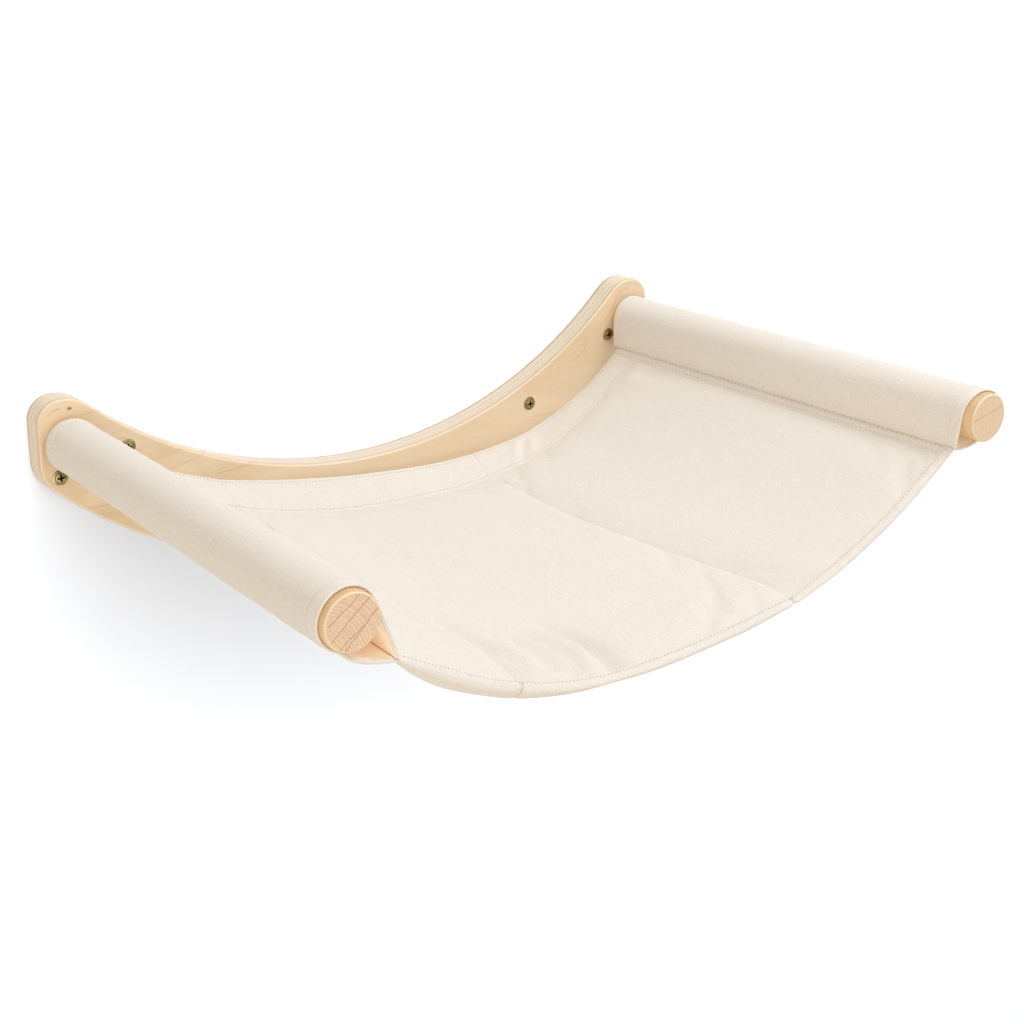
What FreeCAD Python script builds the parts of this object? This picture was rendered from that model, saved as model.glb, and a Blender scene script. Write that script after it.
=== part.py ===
import FreeCAD, Part
import math
import os

Vector = FreeCAD.Vector

# Wall-mounted cat hammock, in millimetres.
# X runs along the wall, +Y points into the wall and Z is up.
# The origin is the middle of the plate's back face, which lies on the wall at Y = 0.

# Wall plate: a crescent of birch plywood
PLATE_WIDTH = 482.4
PLATE_THICKNESS = 18.0
PLATE_HORN_WIDTH = 25.0
PLATE_HORN_HEIGHT = 49.5
PLATE_HORN_LEAN = 3.5
PLATE_HOLLOW_DEPTH = 86.0
PLATE_BELLY_DEPTH = 102.5
PLATE_HORN_CORNER = 15.0
PLATE_HOLLOW_CORNER = 23.0
PLATE_BELLY_CORNER = 22.0
PLATE_EDGE_ROUND = 2.0

# Dowels: two round bars that stand out of the horns
DOWEL_DIAMETER = 30.0
DOWEL_END_WALL = 6.2
DOWEL_TOP_WALL = 14.0
DOWEL_STANDOUT = 336.0
DOWEL_END_CHAMFER = 1.0
SOCKET_DEPTH = 6.0
SOCKET_CLEARANCE = 0.1

# Dowel bolts and inserts, inside the plate and the dowels
BOLT_DIAMETER = 8.0
BOLT_LENGTH = 35.0
BOLT_HEAD_OVERHANG = 4.0
BOLT_HEAD_RIM = 0.5
BOLT_SINK = 0.6
BOLT_KEY_WIDTH = 5.0
BOLT_KEY_SIDES = 6
BOLT_KEY_DEPTH = 3.0
BOLT_HOLE_CLEARANCE = 0.4
INSERT_LENGTH = 25.0
INSERT_WALL = 1.1
INSERT_SINK = 1.0
INSERT_THREAD_DEPTH = 0.8
INSERT_THREAD_TURNS = 6
INSERT_CLEARANCE = 0.05
INSERT_BORE_SPARE = 4.0
THREAD_CLEARANCE = 0.1

# Wall screws: raised countersunk heads in the plate, threads in the wall
SCREW_DIAMETER = 5.0
SCREW_LENGTH = 45.0
SCREW_HEAD_OVERHANG = 2.5
SCREW_HEAD_RIM = 0.3
SCREW_HEAD_DOME = 1.3
SCREW_THREAD_DIAMETER = 4.6
SCREW_THREAD_STANDOFF = 0.5
SCREW_TIP_LENGTH = 7.0
SCREW_TIP_DIAMETER = 0.6
SCREW_RECESS_SPAN = 5.0
SCREW_RECESS_WIDTH = 1.2
SCREW_RECESS_DEPTH = 2.2
SCREW_HOLE_CLEARANCE = 0.3
COUNTERSINK_MARGIN = 0.4

# Screw places: drop below the dowels' axis, and gap from the dowel or inset from its axis
OUTER_SCREW_DROP = 19.6
OUTER_SCREW_GAP = 1.6
INNER_SCREW_DROP = 10.0
LEFT_INNER_SCREW_GAP = 17.5
RIGHT_INNER_SCREW_GAP = 1.2
LOWER_SCREW_DROP = 48.0
LEFT_LOWER_SCREW_INSET = 70.0
RIGHT_LOWER_SCREW_INSET = 94.0

# Sleeves and taped seams: cloth tubes drawn out to a sewn tail, longest at the left front
CLOTH = 1.2
SLEEVE_CLEARANCE = 0.5
LEFT_SLEEVE_TAIL_BACK = 11.0
LEFT_SLEEVE_TAIL_FRONT = 25.0
RIGHT_SLEEVE_TAIL = 10.0
SLEEVE_TAIL_SEWN = 3.0
SLEEVE_TAIL_SLOPE = 46.0
SLING_WALL_GAP = 1.7
DOWEL_BARE_END = 5.0
SLEEVE_MOUTH_SLANT = 4.5
SLEEVE_BACK_SLANT = 9.0
TAPE_WIDTH = 7.0
TAPE_THICKNESS = 2.8
TAPE_SLOPE = 37.0
TAPE_GAP = 0.6

# Panels: doubled cloth with wadding between, hanging from tape to tape
SAG_EDGE = 47.0
SAG_BAND = 61.0
SAG_FRONT = 58.5
LEFT_PANEL_RUN = 62.0
RIGHT_PANEL_RUN = 124.0
WADDING_MIDDLE = 7.4
WADDING_EDGE = 1.1
SEAM_GAP = 0.6
LAYER_GAP = 0.15
HEM_DEPTH = 29.0
HEM_CORNER_RUN = 60.0
BINDING_DEPTH = 5.0
BINDING_THICKNESS = 7.6
BINDING_SEAM_THICKNESS = 4.8

# The hanging curve's fullness, and how far its lowest stretch leans to the right
HANG_POWER = 2.5
LEAN_EDGE_SHARE = 0.48
LEAN_BAND_SHARE = 0.21
LEAN_FRONT_SHARE = -0.05
SLOPE_STEP_SHARE = 0.001

# How a panel's filling swells from its hem to its binding, and how the binding rounds off
PANEL_DEPTH_SHARES = (0.0, 0.04, 0.10, 0.20, 0.50, 0.82, 0.93, 1.0)
PANEL_CROWN_SHARES = (0.0, 0.45, 0.78, 0.95, 1.0, 0.94, 0.80, 0.55)
BINDING_DEPTH_SHARES = (0.0, 0.55, 0.85, 1.0)
BINDING_ROUND_SHARES = (1.0, 0.92, 0.74, 0.5)

# One overrun serves every cut
OVERRUN = 1.0

# Worked-out sizes and places
PLATE_WAIST = PLATE_HORN_HEIGHT + PLATE_BELLY_DEPTH - PLATE_HOLLOW_DEPTH
PLATE_TOP_Z = PLATE_WAIST / 2 + PLATE_HOLLOW_DEPTH
DOWEL_RADIUS = DOWEL_DIAMETER / 2
DOWEL_X = PLATE_WIDTH / 2 - DOWEL_END_WALL - DOWEL_RADIUS
DOWEL_Z = PLATE_TOP_Z - DOWEL_TOP_WALL - DOWEL_RADIUS
DOWEL_FREE_Y = -PLATE_THICKNESS - DOWEL_STANDOUT
SOCKET_Y = -PLATE_THICKNESS + SOCKET_DEPTH
BOLT_RADIUS = BOLT_DIAMETER / 2
BOLT_HEAD_RADIUS = BOLT_RADIUS + BOLT_HEAD_OVERHANG
BOLT_END_Y = -BOLT_SINK - BOLT_LENGTH
INSERT_BORE_RADIUS = BOLT_RADIUS + THREAD_CLEARANCE
INSERT_ROOT_RADIUS = INSERT_BORE_RADIUS + INSERT_WALL
INSERT_RADIUS = INSERT_ROOT_RADIUS + INSERT_THREAD_DEPTH
INSERT_END_Y = SOCKET_Y - INSERT_SINK - INSERT_LENGTH
SCREW_RADIUS = SCREW_DIAMETER / 2
SCREW_HEAD_RADIUS = SCREW_RADIUS + SCREW_HEAD_OVERHANG
SCREW_HOLE_RADIUS = SCREW_RADIUS + SCREW_HOLE_CLEARANCE

SLEEVE_INNER_RADIUS = DOWEL_RADIUS + SLEEVE_CLEARANCE
SLEEVE_OUTER_RADIUS = SLEEVE_INNER_RADIUS + CLOTH
SLING_BACK_Y = -PLATE_THICKNESS - SCREW_HEAD_DOME - SLING_WALL_GAP
SLEEVE_MOUTH_Y = DOWEL_FREE_Y + DOWEL_BARE_END
SLING_FRONT_Y = SLEEVE_MOUTH_Y + SLEEVE_MOUTH_SLANT
SLING_DEPTH = SLING_BACK_Y - SLING_FRONT_Y
PANEL_BACK_Y = SLING_BACK_Y - HEM_DEPTH
PANEL_FRONT_Y = SLING_FRONT_Y + BINDING_DEPTH
STITCHED_THICKNESS = WADDING_EDGE + 2 * (CLOTH + LAYER_GAP)
PANEL_THICKNESS = WADDING_MIDDLE + 2 * (CLOTH + LAYER_GAP)


def tail_reach(side, y):
    """From the dowel's axis to the end of its sleeve's sewn tail."""
    back, front = RIGHT_SLEEVE_TAIL, RIGHT_SLEEVE_TAIL
    if side < 0:
        back, front = LEFT_SLEEVE_TAIL_BACK, LEFT_SLEEVE_TAIL_FRONT
    return DOWEL_RADIUS + back + (front - back) * (SLING_BACK_Y - y) / SLING_DEPTH


def tail_end(side, y):
    """Middle of the sleeve's tail."""
    slope = math.radians(SLEEVE_TAIL_SLOPE)
    reach = tail_reach(side, y)
    return Vector(side * (DOWEL_X - reach * math.cos(slope)), y, DOWEL_Z - reach * math.sin(slope))


def sling_end(side, y):
    """Where the panels begin, past the seam tape."""
    slope = math.radians(TAPE_SLOPE)
    return tail_end(side, y) + Vector(-side * math.cos(slope), 0, -math.sin(slope)) * TAPE_WIDTH


LEFT_SEAM_X = sling_end(-1, SLING_FRONT_Y).x + LEFT_PANEL_RUN
RIGHT_SEAM_X = sling_end(1, SLING_FRONT_Y).x - RIGHT_PANEL_RUN


def along_y(radius, start_y, end_y, x, z, end_radius=None):
    """A round bar, or a cone frustum, along Y."""
    low_y = min(start_y, end_y)
    if end_radius is None or end_radius == radius:
        return Part.makeCylinder(radius, abs(end_y - start_y), Vector(x, low_y, z), Vector(0, 1, 0))
    low, high = (radius, end_radius) if start_y < end_y else (end_radius, radius)
    return Part.makeCone(low, high, abs(end_y - start_y), Vector(x, low_y, z), Vector(0, 1, 0))


def screw_places():
    """X and Z of each wall screw, by node name."""
    outboard, inboard = 1, -1
    beside_dowel = {
        "left_outer_screw": (-1, outboard, OUTER_SCREW_DROP, OUTER_SCREW_GAP),
        "left_inner_screw": (-1, inboard, INNER_SCREW_DROP, LEFT_INNER_SCREW_GAP),
        "right_outer_screw": (1, outboard, OUTER_SCREW_DROP, OUTER_SCREW_GAP),
        "right_inner_screw": (1, inboard, INNER_SCREW_DROP, RIGHT_INNER_SCREW_GAP),
    }
    places = {}
    for name, (side, way, drop, gap) in beside_dowel.items():
        reach = DOWEL_RADIUS + gap + SCREW_HEAD_RADIUS
        run = math.sqrt(reach ** 2 - drop ** 2)
        places[name] = (side * (DOWEL_X + way * run), DOWEL_Z - drop)
    places["left_lower_screw"] = (LEFT_LOWER_SCREW_INSET - DOWEL_X, DOWEL_Z - LOWER_SCREW_DROP)
    places["right_lower_screw"] = (DOWEL_X - RIGHT_LOWER_SCREW_INSET, DOWEL_Z - LOWER_SCREW_DROP)
    return places


def corner_edges(prism, x, z, tolerance):
    """The edges along Y of a prism at one corner of its outline and at that corner's mirror image."""
    def stands_there(edge):
        middle = edge.CenterOfMass
        return abs(abs(middle.x) - x) < tolerance and abs(middle.z - z) < tolerance
    return [edge for edge in prism.Edges if stands_there(edge)]


def rim_edges(prism, y, tolerance):
    """The edges round the face of a prism at one Y."""
    return [edge for edge in prism.Edges if all(abs(v.Y - y) < tolerance for v in edge.Vertexes)]


def plate_blank():
    """The crescent with rounded horns that lean in at the top, and softened edges, before it is drilled."""
    half = PLATE_WIDTH / 2
    top_x = half - PLATE_HORN_LEAN
    hollow_x = top_x - PLATE_HORN_WIDTH
    belly_z = PLATE_TOP_Z - PLATE_HORN_HEIGHT
    top_left = Vector(-top_x, 0, PLATE_TOP_Z)
    top_right = Vector(top_x, 0, PLATE_TOP_Z)
    hollow_left = Vector(-hollow_x, 0, PLATE_TOP_Z)
    hollow_right = Vector(hollow_x, 0, PLATE_TOP_Z)
    belly_left = Vector(-half, 0, belly_z)
    belly_right = Vector(half, 0, belly_z)
    outline = Part.Wire([
        Part.LineSegment(top_left, hollow_left).toShape(),
        Part.Arc(hollow_left, Vector(0, 0, PLATE_WAIST / 2), hollow_right).toShape(),
        Part.LineSegment(hollow_right, top_right).toShape(),
        Part.LineSegment(top_right, belly_right).toShape(),
        Part.Arc(belly_right, Vector(0, 0, -PLATE_WAIST / 2), belly_left).toShape(),
        Part.LineSegment(belly_left, top_left).toShape(),
    ])
    blank = Part.Face(outline).extrude(Vector(0, -PLATE_THICKNESS, 0))
    near = PLATE_EDGE_ROUND / 2
    for x, z, radius in (
        (top_x, PLATE_TOP_Z, PLATE_HORN_CORNER),
        (hollow_x, PLATE_TOP_Z, PLATE_HOLLOW_CORNER),
        (half, belly_z, PLATE_BELLY_CORNER),
    ):
        blank = blank.makeFillet(radius, corner_edges(blank, x, z, near))
    blank = blank.makeFillet(PLATE_EDGE_ROUND, rim_edges(blank, -PLATE_THICKNESS, near))
    return blank.makeFillet(PLATE_EDGE_ROUND / 2, rim_edges(blank, 0, near))


def screw_cut(x, z):
    """Clearance hole with a countersink on the plate's front."""
    front = -PLATE_THICKNESS
    hole = along_y(SCREW_HOLE_RADIUS, front - OVERRUN, OVERRUN, x, z)
    sink_radius = SCREW_HEAD_RADIUS + COUNTERSINK_MARGIN
    sink_depth = sink_radius - SCREW_HOLE_RADIUS
    sink = along_y(sink_radius + OVERRUN, front - OVERRUN, front + sink_depth, x, z, SCREW_HOLE_RADIUS)
    return hole.fuse(sink)


def socket_cut(side):
    """Blind dowel socket in the front, with the bolt's hole and countersink from the back."""
    x = side * DOWEL_X
    socket = along_y(DOWEL_RADIUS + SOCKET_CLEARANCE, -PLATE_THICKNESS - OVERRUN, SOCKET_Y, x, DOWEL_Z)
    hole_radius = BOLT_RADIUS + BOLT_HOLE_CLEARANCE
    hole = along_y(hole_radius, SOCKET_Y - OVERRUN, OVERRUN, x, DOWEL_Z)
    head_radius = BOLT_HEAD_RADIUS + BOLT_HOLE_CLEARANCE
    straight_y = -BOLT_SINK - BOLT_HEAD_RIM
    straight = along_y(head_radius, straight_y, OVERRUN, x, DOWEL_Z)
    cone = along_y(hole_radius, straight_y - head_radius + hole_radius, straight_y, x, DOWEL_Z, head_radius)
    return socket.fuse([hole, straight, cone])


def wall_plate():
    plate = plate_blank()
    cuts = [screw_cut(x, z) for x, z in screw_places().values()]
    cuts += [socket_cut(-1), socket_cut(1)]
    return plate.cut(cuts)


def dowel(side):
    """Round bar with a chamfered free end and a blind bore for its insert."""
    x = side * DOWEL_X
    straight_end_y = DOWEL_FREE_Y + DOWEL_END_CHAMFER
    bar = along_y(DOWEL_RADIUS, straight_end_y, SOCKET_Y, x, DOWEL_Z)
    nose = along_y(DOWEL_RADIUS - DOWEL_END_CHAMFER, DOWEL_FREE_Y, straight_end_y, x, DOWEL_Z, DOWEL_RADIUS)
    bore_end_y = min(INSERT_END_Y, BOLT_END_Y) - INSERT_BORE_SPARE
    bore = along_y(INSERT_RADIUS + INSERT_CLEARANCE, bore_end_y, SOCKET_Y + OVERRUN, x, DOWEL_Z)
    return bar.fuse(nose).removeSplitter().cut(bore)


def dowel_insert(side):
    """Bored insert whose outside is a row of thread crests."""
    pitch = INSERT_LENGTH / INSERT_THREAD_TURNS
    profile = [Vector(INSERT_BORE_RADIUS, 0, 0), Vector(INSERT_ROOT_RADIUS, 0, 0)]
    for turn in range(INSERT_THREAD_TURNS):
        profile.append(Vector(INSERT_RADIUS, -pitch * (turn + 1 / 2), 0))
        profile.append(Vector(INSERT_ROOT_RADIUS, -pitch * (turn + 1), 0))
    profile.append(Vector(INSERT_BORE_RADIUS, -INSERT_LENGTH, 0))
    profile.append(profile[0])
    insert = Part.Face(Part.makePolygon(profile)).revolve(Vector(0, 0, 0), Vector(0, 1, 0), 360)
    insert.translate(Vector(side * DOWEL_X, SOCKET_Y - INSERT_SINK, DOWEL_Z))
    return insert


def dowel_bolt(side):
    """Countersunk bolt from the plate's back, with a six-sided key socket."""
    x = side * DOWEL_X
    head_y = -BOLT_SINK
    rim_y = head_y - BOLT_HEAD_RIM
    rim = along_y(BOLT_HEAD_RADIUS, rim_y, head_y, x, DOWEL_Z)
    cone = along_y(BOLT_RADIUS, rim_y - BOLT_HEAD_OVERHANG, rim_y, x, DOWEL_Z, BOLT_HEAD_RADIUS)
    shank = along_y(BOLT_RADIUS, BOLT_END_Y, rim_y, x, DOWEL_Z)
    corner = BOLT_KEY_WIDTH / 2 / math.cos(math.pi / BOLT_KEY_SIDES)
    ring = []
    for turn in range(BOLT_KEY_SIDES + 1):
        angle = 2 * math.pi * turn / BOLT_KEY_SIDES
        ring.append(Vector(x + corner * math.cos(angle), head_y + OVERRUN, DOWEL_Z + corner * math.sin(angle)))
    key = Part.Face(Part.makePolygon(ring)).extrude(Vector(0, -BOLT_KEY_DEPTH - OVERRUN, 0))
    return rim.fuse([cone, shank]).removeSplitter().cut(key)


def wall_screw(x, z):
    """Raised countersunk head, plain shank in the plate and a pointed thread behind the wall plane."""
    front = -PLATE_THICKNESS
    rim_end = front + SCREW_HEAD_RIM
    dome_radius = (SCREW_HEAD_RADIUS ** 2 + SCREW_HEAD_DOME ** 2) / (2 * SCREW_HEAD_DOME)
    ball = Part.makeSphere(dome_radius, Vector(x, front - SCREW_HEAD_DOME + dome_radius, z))
    dome = ball.common(along_y(SCREW_HEAD_RADIUS, front - SCREW_HEAD_DOME - OVERRUN, front, x, z))
    rim = along_y(SCREW_HEAD_RADIUS, front, rim_end, x, z)
    cone_end = rim_end + SCREW_HEAD_OVERHANG
    cone = along_y(SCREW_HEAD_RADIUS, rim_end, cone_end, x, z, SCREW_RADIUS)
    shank = along_y(SCREW_RADIUS, cone_end, SCREW_THREAD_STANDOFF, x, z)
    thread_end = front + SCREW_LENGTH - SCREW_TIP_LENGTH
    thread = along_y(SCREW_THREAD_DIAMETER / 2, SCREW_THREAD_STANDOFF, thread_end, x, z)
    tip = along_y(SCREW_THREAD_DIAMETER / 2, thread_end, thread_end + SCREW_TIP_LENGTH, x, z, SCREW_TIP_DIAMETER / 2)
    screw = dome.fuse([rim, cone, shank, thread, tip])
    recess_y = front - SCREW_HEAD_DOME - OVERRUN
    deep = SCREW_RECESS_DEPTH + OVERRUN
    wide = SCREW_RECESS_WIDTH
    span = SCREW_RECESS_SPAN
    level = Part.makeBox(span, deep, wide, Vector(x - span / 2, recess_y, z - wide / 2))
    upright = Part.makeBox(wide, deep, span, Vector(x - wide / 2, recess_y, z - span / 2))
    return screw.cut(level.fuse(upright))


def tail_ways(side):
    """Directions along a sleeve's tail, inboard and down, and square to it."""
    slope = math.radians(SLEEVE_TAIL_SLOPE)
    along = Vector(-side * math.cos(slope), 0, -math.sin(slope))
    across = Vector(-side * math.sin(slope), 0, math.cos(slope))
    return along, across


def teardrop(side, radius, reach, tail_half, y):
    """Outline round the dowel's axis, drawn out to a tail on the inboard lower side."""
    axis = Vector(side * DOWEL_X, y, DOWEL_Z)
    along, across = tail_ways(side)

    def spot(run, rise):
        return axis + along * run + across * rise

    turn = math.atan2(tail_half, reach) + math.acos(radius / math.hypot(reach, tail_half))
    middle = (turn + math.pi) / 2
    touch_high = spot(radius * math.cos(turn), radius * math.sin(turn))
    touch_low = spot(radius * math.cos(turn), -radius * math.sin(turn))
    far = spot(-radius, 0)
    edges = [
        Part.LineSegment(spot(reach, tail_half), touch_high).toShape(),
        Part.Arc(touch_high, spot(radius * math.cos(middle), radius * math.sin(middle)), far).toShape(),
        Part.Arc(far, spot(radius * math.cos(middle), -radius * math.sin(middle)), touch_low).toShape(),
        Part.LineSegment(touch_low, spot(reach, -tail_half)).toShape(),
    ]
    if tail_half > 0:
        edges.append(Part.LineSegment(spot(reach, -tail_half), spot(reach, tail_half)).toShape())
    return Part.Wire(edges)


def end_cut(side, y, slant, way):
    """Wedge off a sleeve's end: nothing at the dowel's far side, the slant at the tail."""
    along, across = tail_ways(side)
    far = -SLEEVE_OUTER_RADIUS
    run = tail_reach(side, y) + OVERRUN - far
    rise = slant * run / (run - OVERRUN)
    edge = across * (SLEEVE_OUTER_RADIUS + OVERRUN)
    outward = Vector(0, way * OVERRUN, 0)
    corner = Vector(side * DOWEL_X, y, DOWEL_Z) + along * far - edge
    tail = corner + along * run
    ring = [corner, tail + Vector(0, rise, 0), tail + outward, corner + outward, corner]
    return Part.Face(Part.makePolygon(ring)).extrude(edge * 2)


def sleeve(side):
    """Cloth tube round a dowel, sewn together at its tail, with both ends slanted."""
    outer = []
    inner = []
    for y, spare in ((SLING_BACK_Y, OVERRUN), (SLEEVE_MOUTH_Y, -OVERRUN)):
        reach = tail_reach(side, y)
        outer.append(teardrop(side, SLEEVE_OUTER_RADIUS, reach, CLOTH, y))
        inner.append(teardrop(side, SLEEVE_INNER_RADIUS, reach - SLEEVE_TAIL_SEWN, 0, y + spare))
    tube = Part.makeLoft(outer, True, True)
    hollow = Part.makeLoft(inner, True, True)
    back = end_cut(side, SLING_BACK_Y, -SLEEVE_BACK_SLANT, 1)
    mouth = end_cut(side, SLEEVE_MOUTH_Y, SLEEVE_MOUTH_SLANT, -1)
    return tube.cut([hollow, back, mouth])


def seam_tape(side):
    """Flat strip between a sleeve's tail and the panel beside it."""
    slope = math.radians(TAPE_SLOPE)
    along = Vector(-side * math.cos(slope), 0, -math.sin(slope))
    across = Vector(-side * math.sin(slope), 0, math.cos(slope)) * (TAPE_THICKNESS / 2)
    rings = []
    for y in (SLING_BACK_Y - SLEEVE_BACK_SLANT, SLING_FRONT_Y):
        start = tail_end(side, y) + along * TAPE_GAP
        end = sling_end(side, y) - along * TAPE_GAP
        rings.append(Part.makePolygon([start + across, end + across, end - across, start - across, start + across]))
    return Part.makeLoft(rings, True, True)


def hang_at(y):
    """Sag and lean of the hanging curve: the hem falls from the plate to the band, then the panels run level."""
    if y > PANEL_BACK_Y:
        run = (SLING_BACK_Y - y) / HEM_DEPTH
        return SAG_EDGE + (SAG_BAND - SAG_EDGE) * run, LEAN_EDGE_SHARE + (LEAN_BAND_SHARE - LEAN_EDGE_SHARE) * run
    run = (PANEL_BACK_Y - y) / (PANEL_BACK_Y - SLING_FRONT_Y)
    return SAG_BAND + (SAG_FRONT - SAG_BAND) * run, LEAN_BAND_SHARE + (LEAN_FRONT_SHARE - LEAN_BAND_SHARE) * run


def hang_height(x, y):
    """Z of the sling's own hanging curve."""
    left = sling_end(-1, y)
    right = sling_end(1, y)
    place = (2 * x - right.x - left.x) / (right.x - left.x)
    sag, lean = hang_at(y)
    chord = (left.z + right.z) / 2 + place * (right.z - left.z) / 2
    return chord - sag * (1 - min(abs(place), 1) ** HANG_POWER) * (1 + lean * place)


def sling_spot(x, y, offset):
    """A point at an offset above the sling's hanging curve, square to it."""
    left_x = sling_end(-1, y).x
    right_x = sling_end(1, y).x
    step = SLOPE_STEP_SHARE * (right_x - left_x)
    low_x = max(x - step, left_x)
    high_x = min(x + step, right_x)
    run = Vector(high_x - low_x, 0, hang_height(high_x, y) - hang_height(low_x, y)).normalize()
    return Vector(x, y, hang_height(x, y)) + Vector(-run.z, 0, run.x) * offset


def panel_bounds(word, y):
    """Low and high X of a panel between its seams."""
    half_gap = SEAM_GAP / 2
    return {
        "left": (sling_end(-1, y).x, LEFT_SEAM_X - half_gap),
        "centre": (LEFT_SEAM_X + half_gap, RIGHT_SEAM_X - half_gap),
        "right": (RIGHT_SEAM_X + half_gap, sling_end(1, y).x),
    }[word]


def layer_section(word, y, edge_span, middle_span):
    """Closed outline between a lower and an upper arc across a panel; a span is (lower, upper) offsets."""
    low_x, high_x = panel_bounds(word, y)
    middle_x = (low_x + high_x) / 2
    low_arc = Part.Arc(
        sling_spot(low_x, y, edge_span[0]),
        sling_spot(middle_x, y, middle_span[0]),
        sling_spot(high_x, y, edge_span[0]))
    high_arc = Part.Arc(
        sling_spot(high_x, y, edge_span[1]),
        sling_spot(middle_x, y, middle_span[1]),
        sling_spot(low_x, y, edge_span[1]))
    return Part.Wire([
        low_arc.toShape(),
        Part.LineSegment(low_arc.EndPoint, high_arc.StartPoint).toShape(),
        high_arc.toShape(),
        Part.LineSegment(high_arc.EndPoint, low_arc.StartPoint).toShape(),
    ])


def layer_spans():
    """Each layer's place in a panel, as a function of the panel's thickness there."""
    return {
        "top_cloth": lambda thick: (thick / 2 - CLOTH, thick / 2),
        "wadding": lambda thick: (-thick / 2 + CLOTH + LAYER_GAP, thick / 2 - CLOTH - LAYER_GAP),
        "under_cloth": lambda thick: (-thick / 2, -thick / 2 + CLOTH),
    }


def panel_layer(word, span):
    """One layer of a padded panel: crowned in the middle and drawn in at its sewn sides."""
    sections = []
    for depth, crown in zip(PANEL_DEPTH_SHARES, PANEL_CROWN_SHARES):
        y = PANEL_BACK_Y + (PANEL_FRONT_Y - PANEL_BACK_Y) * depth
        middle = STITCHED_THICKNESS + (PANEL_THICKNESS - STITCHED_THICKNESS) * crown
        sections.append(layer_section(word, y, span(STITCHED_THICKNESS), span(middle)))
    return Part.makeLoft(sections, True, True)


def corner_cut(side):
    """Wedge off a hem's outer back corner, down to where the seam tape begins."""
    end_x = sling_end(side, SLING_BACK_Y).x
    run = HEM_CORNER_RUN + OVERRUN
    fall = SLEEVE_BACK_SLANT * run / HEM_CORNER_RUN
    inner = Vector(end_x - side * HEM_CORNER_RUN, SLING_BACK_Y, 0)
    outer = inner + Vector(side * run, 0, 0)
    behind = Vector(0, OVERRUN, 0)
    ring = [inner, outer - Vector(0, fall, 0), outer + behind, inner + behind, inner]
    return Part.Face(Part.makePolygon(ring)).extrude(Vector(0, 0, DOWEL_Z))


def back_hem(word):
    """Unpadded band of doubled cloth along the plate."""
    span = (-CLOTH, CLOTH)
    sections = [layer_section(word, y, span, span) for y in (SLING_BACK_Y, PANEL_BACK_Y)]
    band = Part.makeLoft(sections, True, True)
    if word == "centre":
        return band
    return band.cut(corner_cut(-1 if word == "left" else 1))


def front_binding(word):
    """Strip along the panel's free front edge, rounded off to the front."""
    sections = []
    for depth, roundness in zip(BINDING_DEPTH_SHARES, BINDING_ROUND_SHARES):
        y = PANEL_FRONT_Y - BINDING_DEPTH * depth
        edge = BINDING_SEAM_THICKNESS * roundness / 2
        middle = BINDING_THICKNESS * roundness / 2
        sections.append(layer_section(word, y, (-edge, edge), (-middle, middle)))
    return Part.makeLoft(sections, True, True)


def all_pieces():
    """Every piece by its node name."""
    pieces = {"wall_plate": wall_plate()}
    for name, (x, z) in screw_places().items():
        pieces[name] = wall_screw(x, z)
    for word, side in (("left", -1), ("right", 1)):
        pieces[word + "_dowel"] = dowel(side)
        pieces[word + "_dowel_insert"] = dowel_insert(side)
        pieces[word + "_dowel_bolt"] = dowel_bolt(side)
        pieces[word + "_sleeve"] = sleeve(side)
        pieces[word + "_seam_tape"] = seam_tape(side)
    for word in ("left", "centre", "right"):
        for layer, span in layer_spans().items():
            pieces[word + "_" + layer] = panel_layer(word, span)
        pieces[word + "_back_hem"] = back_hem(word)
        pieces[word + "_front_binding"] = front_binding(word)
    return pieces


os.makedirs("parts", exist_ok=True)
for node, shape in all_pieces().items():
    shape.exportStep("parts/" + node + ".step")
    print(node, len(shape.Solids), "solid", "valid" if shape.isValid() else "NOT VALID", round(shape.Volume), "mm3")
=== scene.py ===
"""Looks of a wall-mounted cat hammock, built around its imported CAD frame."""
import math

import bmesh
import bpy
import numpy as np
from mathutils import Matrix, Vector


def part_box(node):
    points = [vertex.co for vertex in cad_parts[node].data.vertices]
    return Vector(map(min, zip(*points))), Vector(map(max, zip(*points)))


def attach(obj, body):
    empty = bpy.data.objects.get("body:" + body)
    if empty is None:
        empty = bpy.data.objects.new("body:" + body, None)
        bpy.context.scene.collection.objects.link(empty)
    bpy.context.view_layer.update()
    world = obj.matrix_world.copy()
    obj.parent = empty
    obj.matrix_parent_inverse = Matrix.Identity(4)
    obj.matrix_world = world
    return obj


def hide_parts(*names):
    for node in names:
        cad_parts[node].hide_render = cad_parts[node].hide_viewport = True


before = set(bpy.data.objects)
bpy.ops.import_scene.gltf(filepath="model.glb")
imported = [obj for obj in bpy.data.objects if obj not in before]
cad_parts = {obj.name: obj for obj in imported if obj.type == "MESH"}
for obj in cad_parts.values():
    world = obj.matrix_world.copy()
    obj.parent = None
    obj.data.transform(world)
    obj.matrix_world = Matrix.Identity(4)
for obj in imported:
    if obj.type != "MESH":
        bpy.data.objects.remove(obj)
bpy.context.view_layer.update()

# Sizes are in millimetres, as in the part's own source, and meshes are made in metres
MM = 0.001

# Wall plate and dowels
PLATE_THICKNESS = 18.0
PLY_COUNT = 7
DOWEL_X = 220.0
DOWEL_Z = 90.0
DOWEL_FREE_Y = -354.0
DOWEL_END_CHAMFER = 1.0

# Wall screws
SCREW_HEAD_RADIUS = 5.0
SCREW_RING_RADIUS = 3.6
SCREW_THREAD_RADIUS = 2.3
SCREW_THREAD_START_Y = 1.5
SCREW_THREAD_END_Y = 20.0
SCREW_TIP_Y = 27.0
SCREW_THREAD_PITCH = 2.2
SCREW_THREAD_RISE = 0.5

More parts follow.
